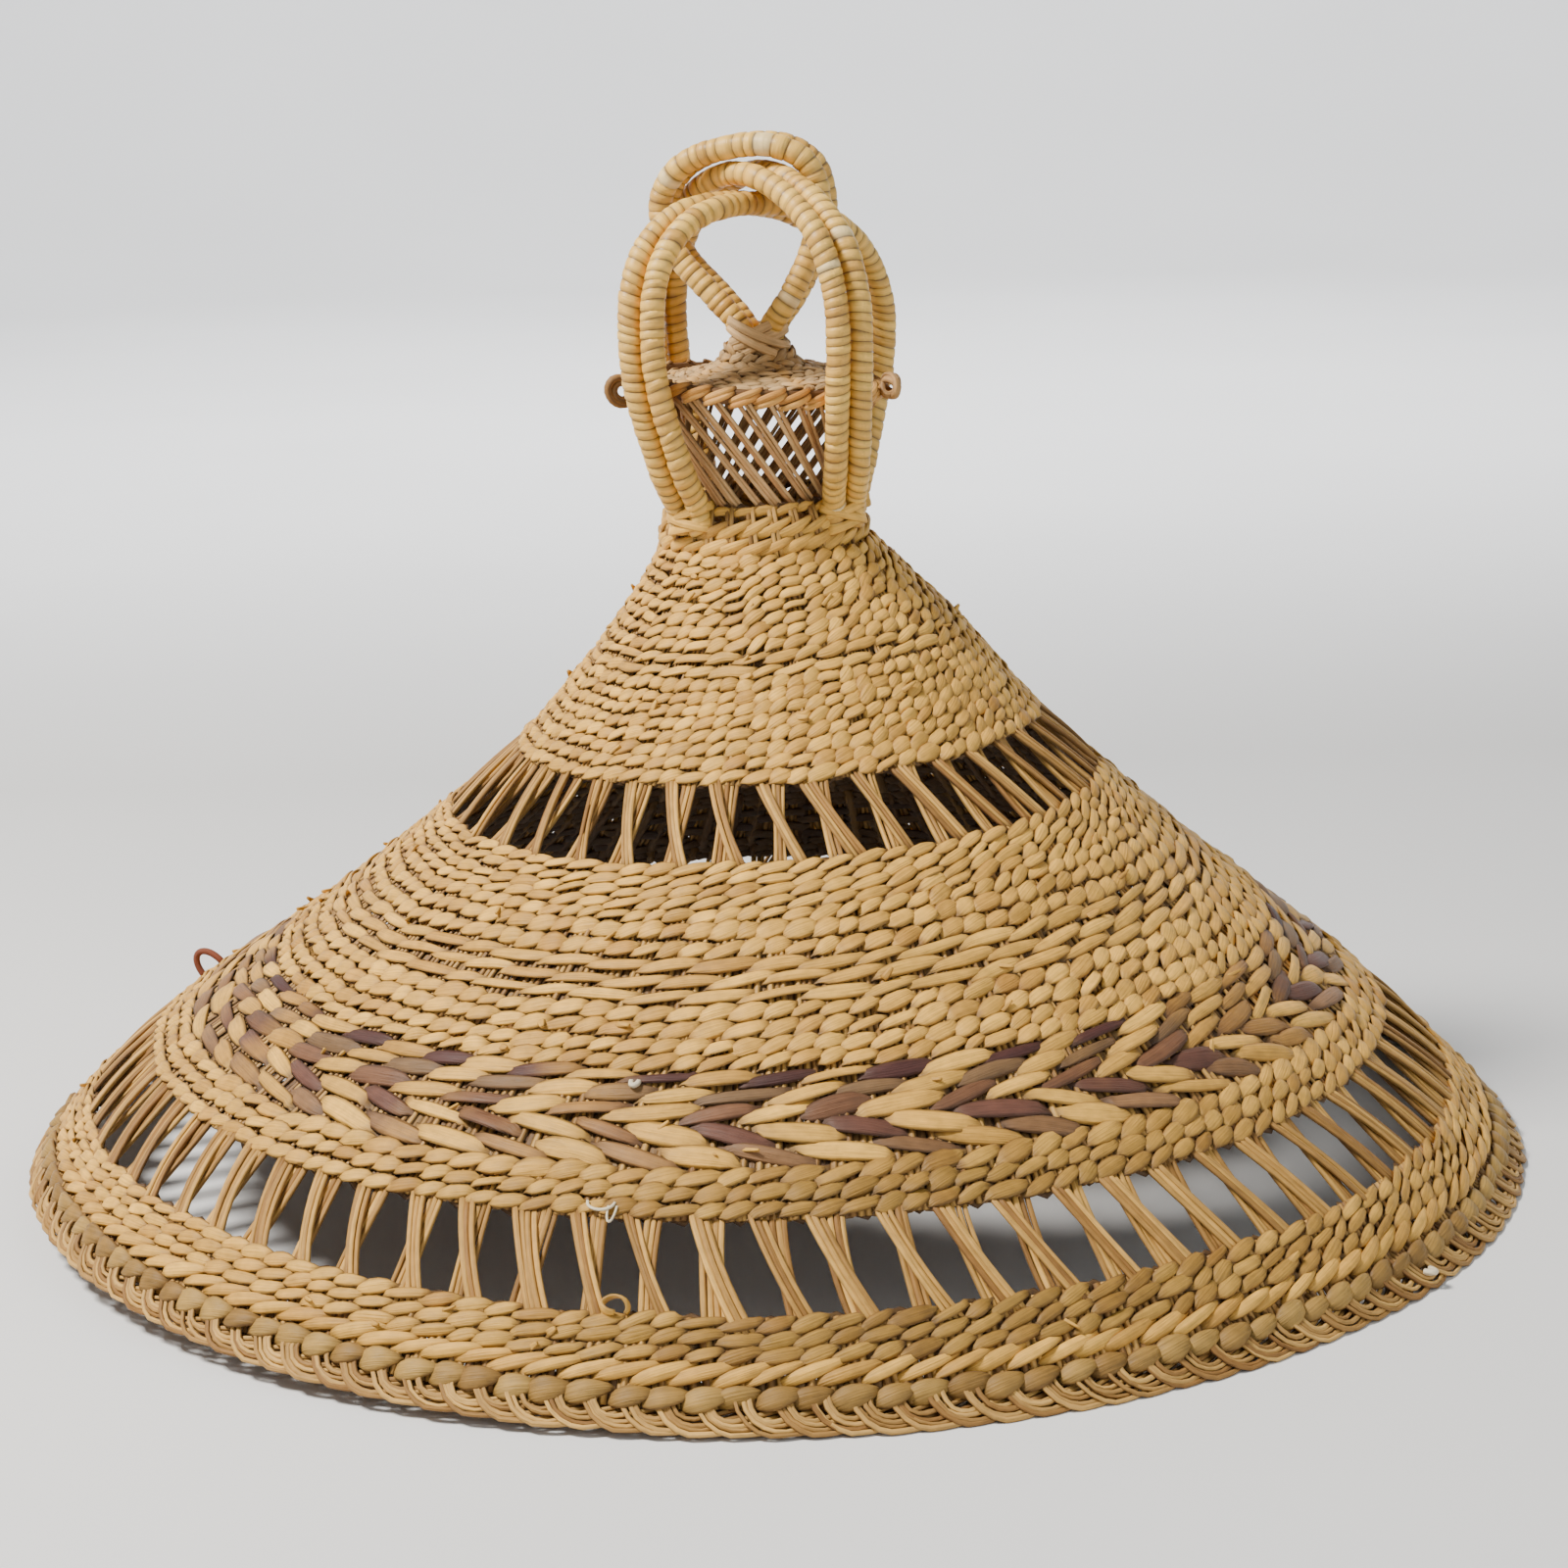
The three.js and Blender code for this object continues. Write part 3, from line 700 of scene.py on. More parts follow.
def leaves(strips, place, row, hues, seed):
    """A ring of separate leaf-shaped stitches, one for each hue, each tucked in at both of its ends.

    The row's half_length counts stitches, depth is how far they stand proud of the wall, and full is
    how blunt their outline is, from about 0.4 for a strip to 1 for a pointed leaf.
    """
    draw = np.random.default_rng(seed)
    count = len(hues)
    along = np.sin(np.linspace(-1, 1, LEAF_STEPS) * math.pi / 2)[None, :]
    centre = np.arange(count)[:, None] + draw.normal(0, 0.06, (count, 1))
    reach = along * row.half_length * draw.uniform(0.93, 1.07, (count, 1))
    angle = (centre + reach) / count * FULL_TURN
    crown = np.sqrt(np.clip(1 - along**2, 0, 1))
    leaf = np.clip(1 - (along + 0.25 * (1 - along**2)) ** 2, 0, 1) ** row.full
    uphill = row.rise * along * draw.uniform(0.8, 1.2, (count, 1)) + draw.normal(0, 0.22, (count, 1))
    sunk = WALL * LEAF_SINK
    outward = -sunk + (sunk + row.depth) * crown * draw.uniform(0.85, 1.15, (count, 1)) - row.thickness / 2
    line = place(angle, uphill, outward)
    facing = place(angle, uphill, outward + 1) - line
    facing = unit(facing + draw.normal(0, 0.2, (count, 1, 1)) * (place(angle, uphill + 1, outward) - line))
    breadth = row.width * (LEAF_TIP + (1 - LEAF_TIP) * leaf) * draw.uniform(0.85, 1.12, (count, 1))
    thickness = row.thickness * (0.6 + 0.4 * crown) * np.ones((count, 1))
    # Painted shade darkens each stitch towards its sunk ends.
    tuck = np.broadcast_to(np.clip(1 - crown, 0, 1), breadth.shape)
    strips.add(line, facing, breadth, thickness, hues[:, None], tuck, 8)


brim_twining = Strips()
twine_cone(brim_twining, BRIM_ROWS, (13.3, 21.6))
brim_draw = np.random.default_rng(61)
leaves(brim_twining, at_height(CORD_ROW.height), CORD_ROW, straw_hues(brim_draw, RIM_COUNT), 62)
turned_hues = mixed(TURNED_BROWN, TURNED_TAN, brim_draw.uniform(0, 1, (RIM_COUNT, 1)))
leaves(brim_twining, at_height(TURNED_ROW.height), TURNED_ROW, turned_hues, 63)
brim_rows = brim_twining.piece("brim_rows", pale_grass)
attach(brim_rows, "root")
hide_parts("brim_band")

brim_warp = Strips()
stakes(brim_warp, 148, 5.0, 21.5, 5)
brim_stakes = brim_warp.piece("brim_stakes", stalks)
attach(brim_stakes, "root")
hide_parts("brim_band")


# The border finishes the rim: below the brim each bundle of stalks turns to the right, runs along
# the edge over the next two bundles and is tucked in under the brim, which makes a plaited rope.
# In the path, around counts the way to the next bundle as 1.
Turn = namedtuple("Turn", "around up out")
BORDER_PATH = [
    Turn(-0.12, 8.6, -1.6),
    Turn(-0.04, 6.8, 0.2),
    Turn(0.06, 4.9, 1.1),
    Turn(0.26, 3.1, 1.3),
    Turn(0.58, 1.9, 1.2),
    Turn(0.95, 1.5, 0.8),
    Turn(1.35, 1.9, 0.1),
    Turn(1.80, 2.3, -1.1),
    Turn(2.20, 2.1, -3.0),
    Turn(2.60, 2.4, -5.2),
    Turn(3.00, 3.4, -7.0),
]
BORDER_STALKS = (-1.5, -0.5, 0.5, 1.5)
BORDER_STALK_WIDTH = 1.25
BORDER_STALK_PITCH = 0.92
BORDER_PITCH = 8.7
BORDER_RADIUS = 199
BORDER_REST = 0.55
BORDER_BROWN = linear(138, 98, 50)
BORDER_TAN = linear(212, 168, 94)
RIM_FOOT = 199.3
RIM_FLARE = 0.82


def smooth_path(rows, steps):
    """Evenly spaced points on a smooth curve through the rows of a table."""
    rows = np.array(rows, float)
    ends = np.concatenate([[2 * rows[0] - rows[1]], rows, [2 * rows[-1] - rows[-2]]])
    fine = np.linspace(0, 1, 17)[:-1, None]
    before, low, high, after = ends[:-3, None], ends[1:-2, None], ends[2:-1, None], ends[3:, None]
    curve = 0.5 * (2 * low + (high - before) * fine + (2 * before - 5 * low + 4 * high - after) * fine**2
                   + (3 * low - before - 3 * high + after) * fine**3)
    curve = np.concatenate([curve.reshape(-1, rows.shape[1]), rows[-1:]])
    pace = np.concatenate([[0], np.cumsum(np.linalg.norm(np.diff(curve, axis=0), axis=1))])
    at = np.linspace(0, pace[-1], steps)
    return np.stack([np.interp(at, pace, column) for column in curve.T], axis=1)


def rim_point(angle, up, out):
    """Points at the rim, up from the table and out from the line of the cone's foot."""
    radius = RIM_FOOT - up * RIM_FLARE + out
    return np.stack([radius * np.cos(angle), radius * np.sin(angle), up + lifted(up, angle)], axis=-1)


border = Strips()
border_draw = np.random.default_rng(71)
bend = smooth_path([(turn.around * BORDER_PITCH, turn.up, turn.out) for turn in BORDER_PATH], 15)
progress = np.linspace(0, 1, len(bend))[None, :]
settle = np.clip(progress * 3.2 - 0.35, 0, 1)
# Painted shade darkens each stalk where it comes out from under the brim and where it is tucked in again.
tucked = 0.7 * (1 - np.sin(math.pi * np.clip(progress * 1.3, 0, 1)))
for stalk in BORDER_STALKS:
    start = np.arange(RIM_COUNT)[:, None] + border_draw.normal(0, 0.05, (RIM_COUNT, 1))
    beside = stalk * BORDER_STALK_WIDTH * BORDER_STALK_PITCH
    around = bend[None, :, 0] + beside * (1 - settle)
    up = bend[None, :, 1] + beside * settle * 0.85 + border_draw.normal(0, 0.12, (RIM_COUNT, 1))
    out = bend[None, :, 2] - 0.25 * beside * settle + border_draw.normal(0, 0.15, (RIM_COUNT, 1))
    up = np.maximum(up, BORDER_REST)
    angle = start / RIM_COUNT * FULL_TURN + around / BORDER_RADIUS
    line = rim_point(angle, up, out)
    facing = unit(rim_point(angle, up + 0.9, out + 1.9) - line)
    hue = mixed(BORDER_BROWN, BORDER_TAN, border_draw.uniform(0, 1, (RIM_COUNT, 1, 1)))
    width = BORDER_STALK_WIDTH * border_draw.uniform(0.8, 1.15, (RIM_COUNT, 1)) * np.ones_like(progress)
    border.add(line, facing, width, 1.0, hue, np.broadcast_to(tucked, width.shape), 6)
rim_border = border.piece("rim_border_plait", crossed)
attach(rim_border, "root")
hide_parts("rim_border")


# At the neck the stakes are gathered in and bound by two rounds of broad flat strips that climb to
# the right, with a row of knobs above. Small holes are left where the drum's stakes come up.
NECK_CENTRE = 1.5
NECK_TILT = 0.8
NECK_STITCHES = 30
DRUM_BUNDLES = 28
NeckRound = namedtuple("NeckRound", "radius row")
NECK_ROUNDS = [
    NeckRound(27.7, Leaves(168.3, 1.0, 2.5, 3.1, 1.4, 0.5, 0.4)),
    NeckRound(26.7, Leaves(172.6, 1.0, 2.5, 3.1, 1.4, 0.5, 0.4)),
]
KNOB_ROW = Row(177.0, DRUM_BUNDLES, 1, 0, 0.7)
KNOB_RADIUS = 24.4
KNOB_WIDTH = 2.6
KNOB_SWING = 1.1
NECK_STALKS_APART = 0.62
NECK_STALKS_LEAN = 1.5
NECK_STALKS_FOOT = 165.5
NECK_STALKS_LENGTH = 12.5
NECK_STALKS_RADIUS = 27.2
NECK_STALKS_INWARD = 3.4
NECK_RADIUS = 25


def on_drum(centre, radius, up, tilt=0.0):
    """Places on an upright ring: uphill is up its wall."""

    def place(angle, uphill, outward):
        reach = radius + outward
        x = centre + reach * np.cos(angle)
        y = reach * np.sin(angle)
        return np.stack(np.broadcast_arrays(x, y, up + uphill + tilt * np.cos(angle)), axis=-1)

    return place


neck = Strips()
neck_draw = np.random.default_rng(75)
for number, (radius, row) in enumerate(NECK_ROUNDS):
    on_neck = on_drum(NECK_CENTRE, radius, row.height, NECK_TILT)
    leaves(neck, on_neck, row, straw_hues(neck_draw, NECK_STITCHES), 76 + number)
on_knobs = on_drum(NECK_CENTRE, KNOB_RADIUS, KNOB_ROW.height, NECK_TILT)
twine(neck, on_knobs, KNOB_WIDTH, KNOB_ROW.height, KNOB_ROW, swing=KNOB_SWING)
neck_angle = (np.arange(DRUM_BUNDLES)[:, None] + 0.5) / DRUM_BUNDLES * FULL_TURN
neck_rise = np.linspace(0, 1, 4)[None, :]
for beside in (-1, 1):
    aside = beside * NECK_STALKS_APART - NECK_STALKS_LEAN * (neck_rise - 0.5)
    angle = neck_angle + aside / NECK_RADIUS
    radius = NECK_STALKS_RADIUS - NECK_STALKS_INWARD * neck_rise**2
    up = NECK_STALKS_FOOT + NECK_STALKS_LENGTH * neck_rise + 0 * angle
    line = np.stack([NECK_CENTRE + radius * np.cos(angle), radius * np.sin(angle), up], axis=-1)
    facing = unit(np.stack([np.cos(angle), np.sin(angle), 0.2 + 0 * angle], axis=-1))
    neck.add(line, facing, 1.3, 1.0, stake_hues(neck_draw, DRUM_BUNDLES), 0.3, 6)
neck_rows = neck.piece("neck_binding", pale_grass)
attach(neck_rows, "root")
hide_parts("neck_band")


# The drum over the neck is a cage of bare stakes in flat bundles. They all slant the same way,
# from top left to bottom right, and one can see through it.
DRUM_CENTRE = 1.0
DRUM_FOOT = (21.8, 174.0)
DRUM_HEAD = (31.0, 205.6)
DRUM_TWIST = math.radians(50)
COLLAR_TILT = -2.2
DRUM_STALK_WIDTH = 1.25
DRUM_DROOP = 6
DRUM_PALE = linear(216, 176, 120)
DRUM_ORANGE = linear(186, 134, 82)
drum = Strips()
drum_draw = np.random.default_rng(81)
rise = np.linspace(0, 1, 9)[None, :]
bundle_angle = (np.arange(DRUM_BUNDLES)[:, None] + 0.5) / DRUM_BUNDLES * FULL_TURN
bundle_angle = bundle_angle + drum_draw.normal(0, 0.02, (DRUM_BUNDLES, 1))
stalks_in_bundle = drum_draw.choice([2, 3, 3], (DRUM_BUNDLES, 1))
for stalk in range(3):
    here = np.flatnonzero(stalks_in_bundle[:, 0] > stalk)
    spread = (stalk - (stalks_in_bundle[here] - 1) / 2) * DRUM_STALK_WIDTH
    foot = bundle_angle[here] + DRUM_TWIST / 2 + 0.9 * spread / DRUM_FOOT[0]
    fan = spread / DRUM_HEAD[0] * drum_draw.uniform(0.8, 1.7, (len(here), 1))
    head = bundle_angle[here] - DRUM_TWIST / 2 + fan
    depth = drum_draw.normal(0, 0.25, (len(here), 1))
    low, high = DRUM_FOOT[0] + depth, DRUM_HEAD[0] + depth
    x = mixed(low * np.cos(foot), high * np.cos(head), rise)
    y = mixed(low * np.sin(foot), high * np.sin(head), rise)
    z = mixed(DRUM_FOOT[1], DRUM_HEAD[1] + COLLAR_TILT * np.cos(head), rise)
    line = np.stack([DRUM_CENTRE + x, y, z], axis=-1)
    facing = unit(np.stack([x, y, -DRUM_DROOP + 0 * z], axis=-1))
    width = DRUM_STALK_WIDTH * drum_draw.uniform(0.8, 1.15, (len(here), 1)) * np.ones_like(rise)
    hue = mixed(DRUM_ORANGE, DRUM_PALE, drum_draw.uniform(0, 1, (len(here), 1, 1)))
    drum.add(line, facing, width, 1.0, hue, 0.08, 6)
drum_cage = drum.piece("drum_stakes_bundles", crossed)
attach(drum_cage, "root")
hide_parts("drum_stakes")


# The collar closes the top of the drum: a plait of glossy orange-brown strips, each doubled, that
# climbs to the right over the edge.
COLLAR_CENTRE = 0.8
COLLAR_RADIUS = 30.9
COLLAR_UP = 206.9
COLLAR_STITCHES = 30
COLLAR_REACH = 0.66
COLLAR_CLIMB = 1.9
COLLAR_BULGE = 2.6
COLLAR_SINK = 0.9
COLLAR_STRIP_WIDTH = 1.75
COLLAR_ORANGE = linear(190, 126, 56)
COLLAR_PALE = linear(222, 168, 90)
collar = Strips()
collar_draw = np.random.default_rng(91)
on_collar = on_drum(COLLAR_CENTRE, COLLAR_RADIUS, COLLAR_UP, COLLAR_TILT)
along = np.linspace(-1, 1, 11)[None, :]
crown = np.sqrt(1 - along**2)
for edge in (-0.8, 0.8):
    turn = np.arange(COLLAR_STITCHES)[:, None] + collar_draw.normal(0, 0.05, (COLLAR_STITCHES, 1))
    angle = (turn + along * COLLAR_REACH) / COLLAR_STITCHES * FULL_TURN
    uphill = COLLAR_CLIMB * along + edge * (1 - 0.3 * along**2)
    uphill = uphill + collar_draw.normal(0, 0.12, (COLLAR_STITCHES, 1))
    outward = COLLAR_BULGE * crown - COLLAR_SINK + collar_draw.normal(0, 0.1, (COLLAR_STITCHES, 1))
    line = on_collar(angle, uphill, outward)
    facing = unit(on_collar(angle, uphill, outward + 1) - line)
    hue = mixed(COLLAR_ORANGE, COLLAR_PALE, collar_draw.uniform(0, 1, (COLLAR_STITCHES, 1, 1)))
    breadth = COLLAR_STRIP_WIDTH * (0.55 + 0.45 * crown) * np.ones((COLLAR_STITCHES, 1))
    # Painted shade darkens each strip towards its ends, where it sinks into the plait.
    collar.add(line, facing, breadth, 1.2, hue, np.broadcast_to(1 - crown, breadth.shape), 8)
inner_ring = np.arange(48) / 48 * FULL_TURN
collar_core = on_collar(inner_ring, 0, -0.4)
core_facing = unit(on_collar(inner_ring, 0, 1) - collar_core)
collar.add(collar_core[None], core_facing[None], 4.2, 1.8, STAKE_BROWN, 0.7, 8, closed=True)
collar_plait = collar.piece("collar_plait", crossed)
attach(collar_plait, "root")
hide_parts("collar")


# The cap is a shallow woven cover on the drum. It rises in the middle to a mound of strips in
# which the ends of the top ring are sewn down.
CAP_CENTRE = (1.3, -0.2)
CapRow = namedtuple("CapRow", "out up stakes span start lean width tone", defaults=[1.0])
CAP_ROWS = [
    CapRow(28.0, 208.3, 40, 1, 0, 1.0, 2.9),
    CapRow(25.5, 208.8, 36, 1, 0, -1.0, 2.7),
    CapRow(23.1, 209.2, 34, 1, 0, 1.0, 2.7),
    CapRow(20.7, 209.6, 30, 1, 0, -1.0, 2.7),
    CapRow(18.3, 210.1, 26, 1, 0, 1.0, 2.7),
    CapRow(15.9, 210.8, 22, 1, 0, -1.0, 2.7),
    CapRow(13.2, 211.4, 18, 1, 0, 1.0, 2.7),
    CapRow(10.8, 212.7, 16, 1, 0, -1.0, 2.7),
    CapRow(8.9, 214.7, 14, 1, 0, 1.0, 2.7),
    CapRow(7.6, 217.0, 12, 1, 0, -1.0, 2.7),
]
CAP_SLOPE = 0.25
MOUND_STEEPER = 1.15
MOUND_FOOT = 211
MOUND_RISE = 4
CAP_SWING = 0.8
CAP_TAN = linear(176, 144, 98)
CAP_PALER = 1.12


def on_cap(out, up):
    """Places on the cap; uphill is towards its middle and outward is up off its wall."""
    steep = np.clip((up - MOUND_FOOT) / MOUND_RISE, 0, 1) * MOUND_STEEPER + CAP_SLOPE

    def place(angle, uphill, outward):
        reach = out - uphill * np.cos(steep) + (outward + WALL / 2) * np.sin(steep)
        x = CAP_CENTRE[0] + reach * np.cos(angle)
        y = CAP_CENTRE[1] + reach * np.sin(angle)
        z = up + uphill * np.sin(steep) + (outward + WALL / 2) * np.cos(steep) - 0.4
        return np.stack(np.broadcast_arrays(x, y, z), axis=-1)

    return place


cap = Strips()
for row in CAP_ROWS:
    twine(cap, on_cap(row.out, row.up), row.width, row.up, row, (CAP_TAN, CAP_TAN * CAP_PALER), CAP_SWING)
cap_cover = cap.piece("cap_cover", pale_grass)
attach(cap_cover, "root")
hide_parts("cap")

LASH_SIDES = 28
LASH_WIDTH = 2.5
LASH_THICKNESS = 1.1
UPWARD = np.array([0.0, 0.0, 1.0])


def lash(strips, centre, side, reach, heights, tilt, hue, seed):
    """Strips bound round two rods that stand side by side, each a slanting loop.

    reach is half of a loop's length along side and half of its breadth across.
    """
    draw = np.random.default_rng(seed)
    angle = np.arange(LASH_SIDES) / LASH_SIDES * FULL_TURN
    ahead = unit(np.array(side, float))
    across = np.cross(UPWARD, ahead)
    for number, height in enumerate(heights):
        lean = tilt * (-1 if number % 2 else 1) * draw.uniform(0.7, 1.2)
        grown = 1 + 0.05 * (number % 2)
        middle = np.array([centre[0], centre[1], height + draw.normal(0, 0.2)])
        line = (middle
                + grown * reach[0] * np.cos(angle)[:, None] * ahead
                + grown * reach[1] * np.sin(angle)[:, None] * across
                + lean * np.cos(angle)[:, None] * UPWARD)
        away = np.cos(angle)[:, None] * ahead + np.sin(angle)[:, None] * across + 0.25 * UPWARD
        shade = hue * draw.uniform(0.85, 1.2)
        strips.add(line[None], unit(away)[None], LASH_WIDTH, LASH_THICKNESS, shade, 0.1, 8, closed=True)


lashing = Strips()
LASH_CENTRE = (1.6, -0.5)
LASH_SIDE = (1, -0.1, 0)
LASH_REACH = (7.4, 8.5)
LASH_HEIGHTS = (217.2, 218.3, 219.4, 220.5, 221.6)
LASH_TILT = 3.6
lash(lashing, LASH_CENTRE, LASH_SIDE, LASH_REACH, LASH_HEIGHTS, LASH_TILT, CAP_TAN * 1.5, 97)
cap_lashing = lashing.piece("cap_lashing", pale_grass)
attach(cap_lashing, "root")
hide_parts("cap")


# Rods of stiff grass, each wound closely with one flat pale strip, stand in pairs. Two pairs make
# hoops from the neck up over the drum, crossing at the top, and a third pair stands on the cap as
# a ring that closes over them.
Point = namedtuple("Point", "x y z")
ROD_RADIUS = 3.15
ROD_SPACING = 6.9
WRAP_LENGTH = 2.65

# One turn of the winding: how far along it, how thick the rod is there and how much painted shade darkens
# it, most in the groove.
WrapPart = namedtuple("WrapPart", "at level tuck")
WRAP_PARTS = [
    WrapPart(0.0, 0.89, 1.0),
    WrapPart(0.09, 0.975, 0.5),
    WrapPart(0.5, 1.0, 0.0),
    WrapPart(0.91, 0.975, 0.45),
]
CREST_LENGTH = 0.1
CREST_BROADER = 0.9
ROD_SIDES = 14
ROD_PALE = linear(244, 196, 94)
ROD_TAN = linear(208, 156, 70)
ROD_WORN = linear(238, 208, 146)
WORN_SHARE = 0.014
FOOT_REACH = 12
FOOT_SQUEEZE = 0.2
LOW_HOOP = [
    Point(-16.9, -17.6, 171.5),
    Point(-17.5, -18.4, 174.6),
    Point(-18.0, -19.0, 178.5),
    Point(-20.9, -22.8, 186.0),
    Point(-23.7, -25.6, 196.0),
    Point(-26.2, -27.0, 206.0),
    Point(-27.6, -27.2, 215.0),
    Point(-27.8, -26.8, 224.0),
    Point(-27.1, -26.0, 233.5),
    Point(-24.6, -23.6, 241.8),
    Point(-20.0, -19.2, 248.4),
    Point(-13.6, -13.4, 252.4),
    Point(-5.0, -5.6, 253.8),
    Point(5.0, 3.3, 252.8),
    Point(14.0, 11.0, 249.8),
    Point(22.0, 18.5, 244.8),
    Point(27.5, 24.0, 238.0),
    Point(30.9, 27.2, 230.0),
    Point(32.4, 28.5, 220.0),
    Point(31.5, 27.5, 207.0),
    Point(29.3, 25.0, 197.0),
    Point(26.8, 20.8, 186.0),
    Point(24.8, 16.8, 178.5),
    Point(24.3, 16.2, 174.6),
    Point(23.8, 15.6, 171.5),
]
HIGH_HOOP = [
    Point(22.1, -16.1, 171.5),
    Point(22.4, -16.8, 174.8),
    Point(22.5, -17.6, 178.5),
    Point(23.2, -24.0, 187.0),
    Point(23.8, -28.0, 199.0),
    Point(24.2, -29.4, 209.0),
    Point(24.6, -29.9, 219.0),
    Point(24.4, -29.5, 229.0),
    Point(23.0, -27.6, 238.0),
    Point(20.6, -25.2, 245.4),
    Point(16.8, -20.6, 251.6),
    Point(11.4, -13.8, 257.0),
    Point(4.9, -5.2, 260.6),
    Point(-1.6, 3.8, 261.0),
    Point(-8.0, 12.8, 257.9),
    Point(-13.6, 20.3, 253.0),
    Point(-18.6, 25.6, 246.0),
    Point(-21.8, 28.6, 237.0),
    Point(-23.4, 29.6, 226.0),
    Point(-23.2, 29.6, 215.0),
    Point(-22.2, 29.0, 205.0),
    Point(-19.6, 25.6, 194.0),
    Point(-16.0, 21.3, 178.5),
    Point(-15.6, 20.8, 174.8),
    Point(-15.3, 20.4, 171.5),
]
TOP_RING = [
    Point(-1.2, 0.6, 217.6),
    Point(-2.4, 1.2, 222.4),
    Point(-9.8, 4.5, 231.0),
    Point(-17.6, 8.0, 239.8),
    Point(-21.6, 9.4, 248.6),
    Point(-20.8, 8.6, 257.2),
    Point(-14.2, 6.1, 264.5),
    Point(-2.6, 1.8, 268.0),
    Point(7.8, -1.2, 268.1),
    Point(15.4, -1.6, 264.4),
    Point(18.8, -1.2, 257.6),
    Point(18.8, -1.6, 249.0),
    Point(15.6, -3.2, 239.0),
    Point(11.0, -4.1, 230.0),
    Point(5.8, -2.3, 222.4),
    Point(4.2, -1.8, 217.6),
]
LOW_HOOP_SIDE = (0.85, -0.53, 0)
HIGH_HOOP_SIDE = (0.85, 0.53, 0)
TOP_RING_SIDE = (0.25, 0.97, 0)
wound_grass = grass("wound_pale_grass", 0.45, 0.45, 0.45, 0.9, 0.4)


def wrapped_rod(name, path, side, place, slope, seed):
    """A rod along a table of points, wound with a strip whose turns show as rings.

    slope is how far a turn leans along the rod where the two rods of a pair meet.
    """
    draw = np.random.default_rng(seed)
    coarse = smooth_path(path, 160)
    pace = np.concatenate([[0], np.cumsum(np.linalg.norm(np.diff(coarse, axis=0), axis=1))])
    foot = np.clip(1 - np.minimum(pace, pace[-1] - pace) / FOOT_REACH, 0, 1)
    coarse = coarse + unit(np.array(side)) * ROD_SPACING * place * (1 - FOOT_SQUEEZE * foot[:, None])
    wraps = int(pace[-1] / WRAP_LENGTH)
    crest = np.exp(-(((np.arange(wraps) / wraps - 0.5) / CREST_LENGTH) ** 2))
    widths = draw.uniform(0.82, 1.18, wraps) * (1 + CREST_BROADER * crest * draw.uniform(0, 1, wraps))
    starts = np.concatenate([[0], np.cumsum(widths)]) / widths.sum() * pace[-1]
    part, level, groove_shade = np.array(WRAP_PARTS).T
    at = (starts[:-1, None] + np.diff(starts)[:, None] * part).ravel()
    line = np.stack([np.interp(at, pace, column) for column in coarse.T], axis=1)
    girth = 2 * ROD_RADIUS * (level * draw.uniform(0.965, 1.035, (wraps, 1))).ravel()
    share = np.clip(draw.normal(0.35, 0.28, (wraps, 1)), 0, 1)
    hue = mixed(ROD_PALE, ROD_TAN, share) * draw.uniform(0.92, 1.05, (wraps, 1))
    hue = np.where(draw.uniform(0, 1, (wraps, 1)) < WORN_SHARE, ROD_WORN, hue)
    hue = np.repeat(hue, len(part), axis=0)
    tuck = np.tile(groove_shade, wraps)
    rod = Strips()
    facing = np.broadcast_to(unit(np.array(side)), line.shape)
    skew = np.repeat(-2 * place * slope + draw.normal(0, 0.25, wraps), len(part))
    rod.add(line[None], facing[None], girth[None], girth[None], hue[None], tuck[None],
            ROD_SIDES, skew=skew[None])
    return rod.piece(name, wound_grass)


Hoop = namedtuple("Hoop", "node path side place slope")
HOOPS = [
    Hoop("low_hoop_rear", LOW_HOOP, LOW_HOOP_SIDE, -0.5, -0.7),
    Hoop("low_hoop_front", LOW_HOOP, LOW_HOOP_SIDE, 0.5, -0.7),
    Hoop("high_hoop_front", HIGH_HOOP, HIGH_HOOP_SIDE, -0.5, 0.5),
    Hoop("high_hoop_rear", HIGH_HOOP, HIGH_HOOP_SIDE, 0.5, 0.5),
    Hoop("top_ring_front", TOP_RING, TOP_RING_SIDE, -0.5, 0.3),
    Hoop("top_ring_rear", TOP_RING, TOP_RING_SIDE, 0.5, 0.3),
]
for number, hoop in enumerate(HOOPS):
    name = hoop.node + "_wrapped"
    rod_wound = wrapped_rod(name, hoop.path, hoop.side, hoop.place, hoop.slope, 101 + number)
    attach(rod_wound, "root")
    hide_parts(hoop.node)

FOOT_HEIGHTS = (172.6, 174.4, 176.4)
FOOT_LOOP = (6.1, 3.6)
FOOT_TILT = 1.9
feet = Strips()
for number, (path, side) in enumerate(((LOW_HOOP, LOW_HOOP_SIDE), (HIGH_HOOP, HIGH_HOOP_SIDE))):
    for end in (1, -2):
        inwards = unit(np.array([NECK_CENTRE - path[end].x, -path[end].y]))
        centre = (path[end].x + 0.5 * inwards[0], path[end].y + 0.5 * inwards[1])
        lash(feet, centre, side, FOOT_LOOP, FOOT_HEIGHTS, FOOT_TILT, PALE_STRAW, 111 + 2 * number + end)
foot_binding = feet.piece("neck_foot_binding", pale_grass)
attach(foot_binding, "root")
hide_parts("neck_band")


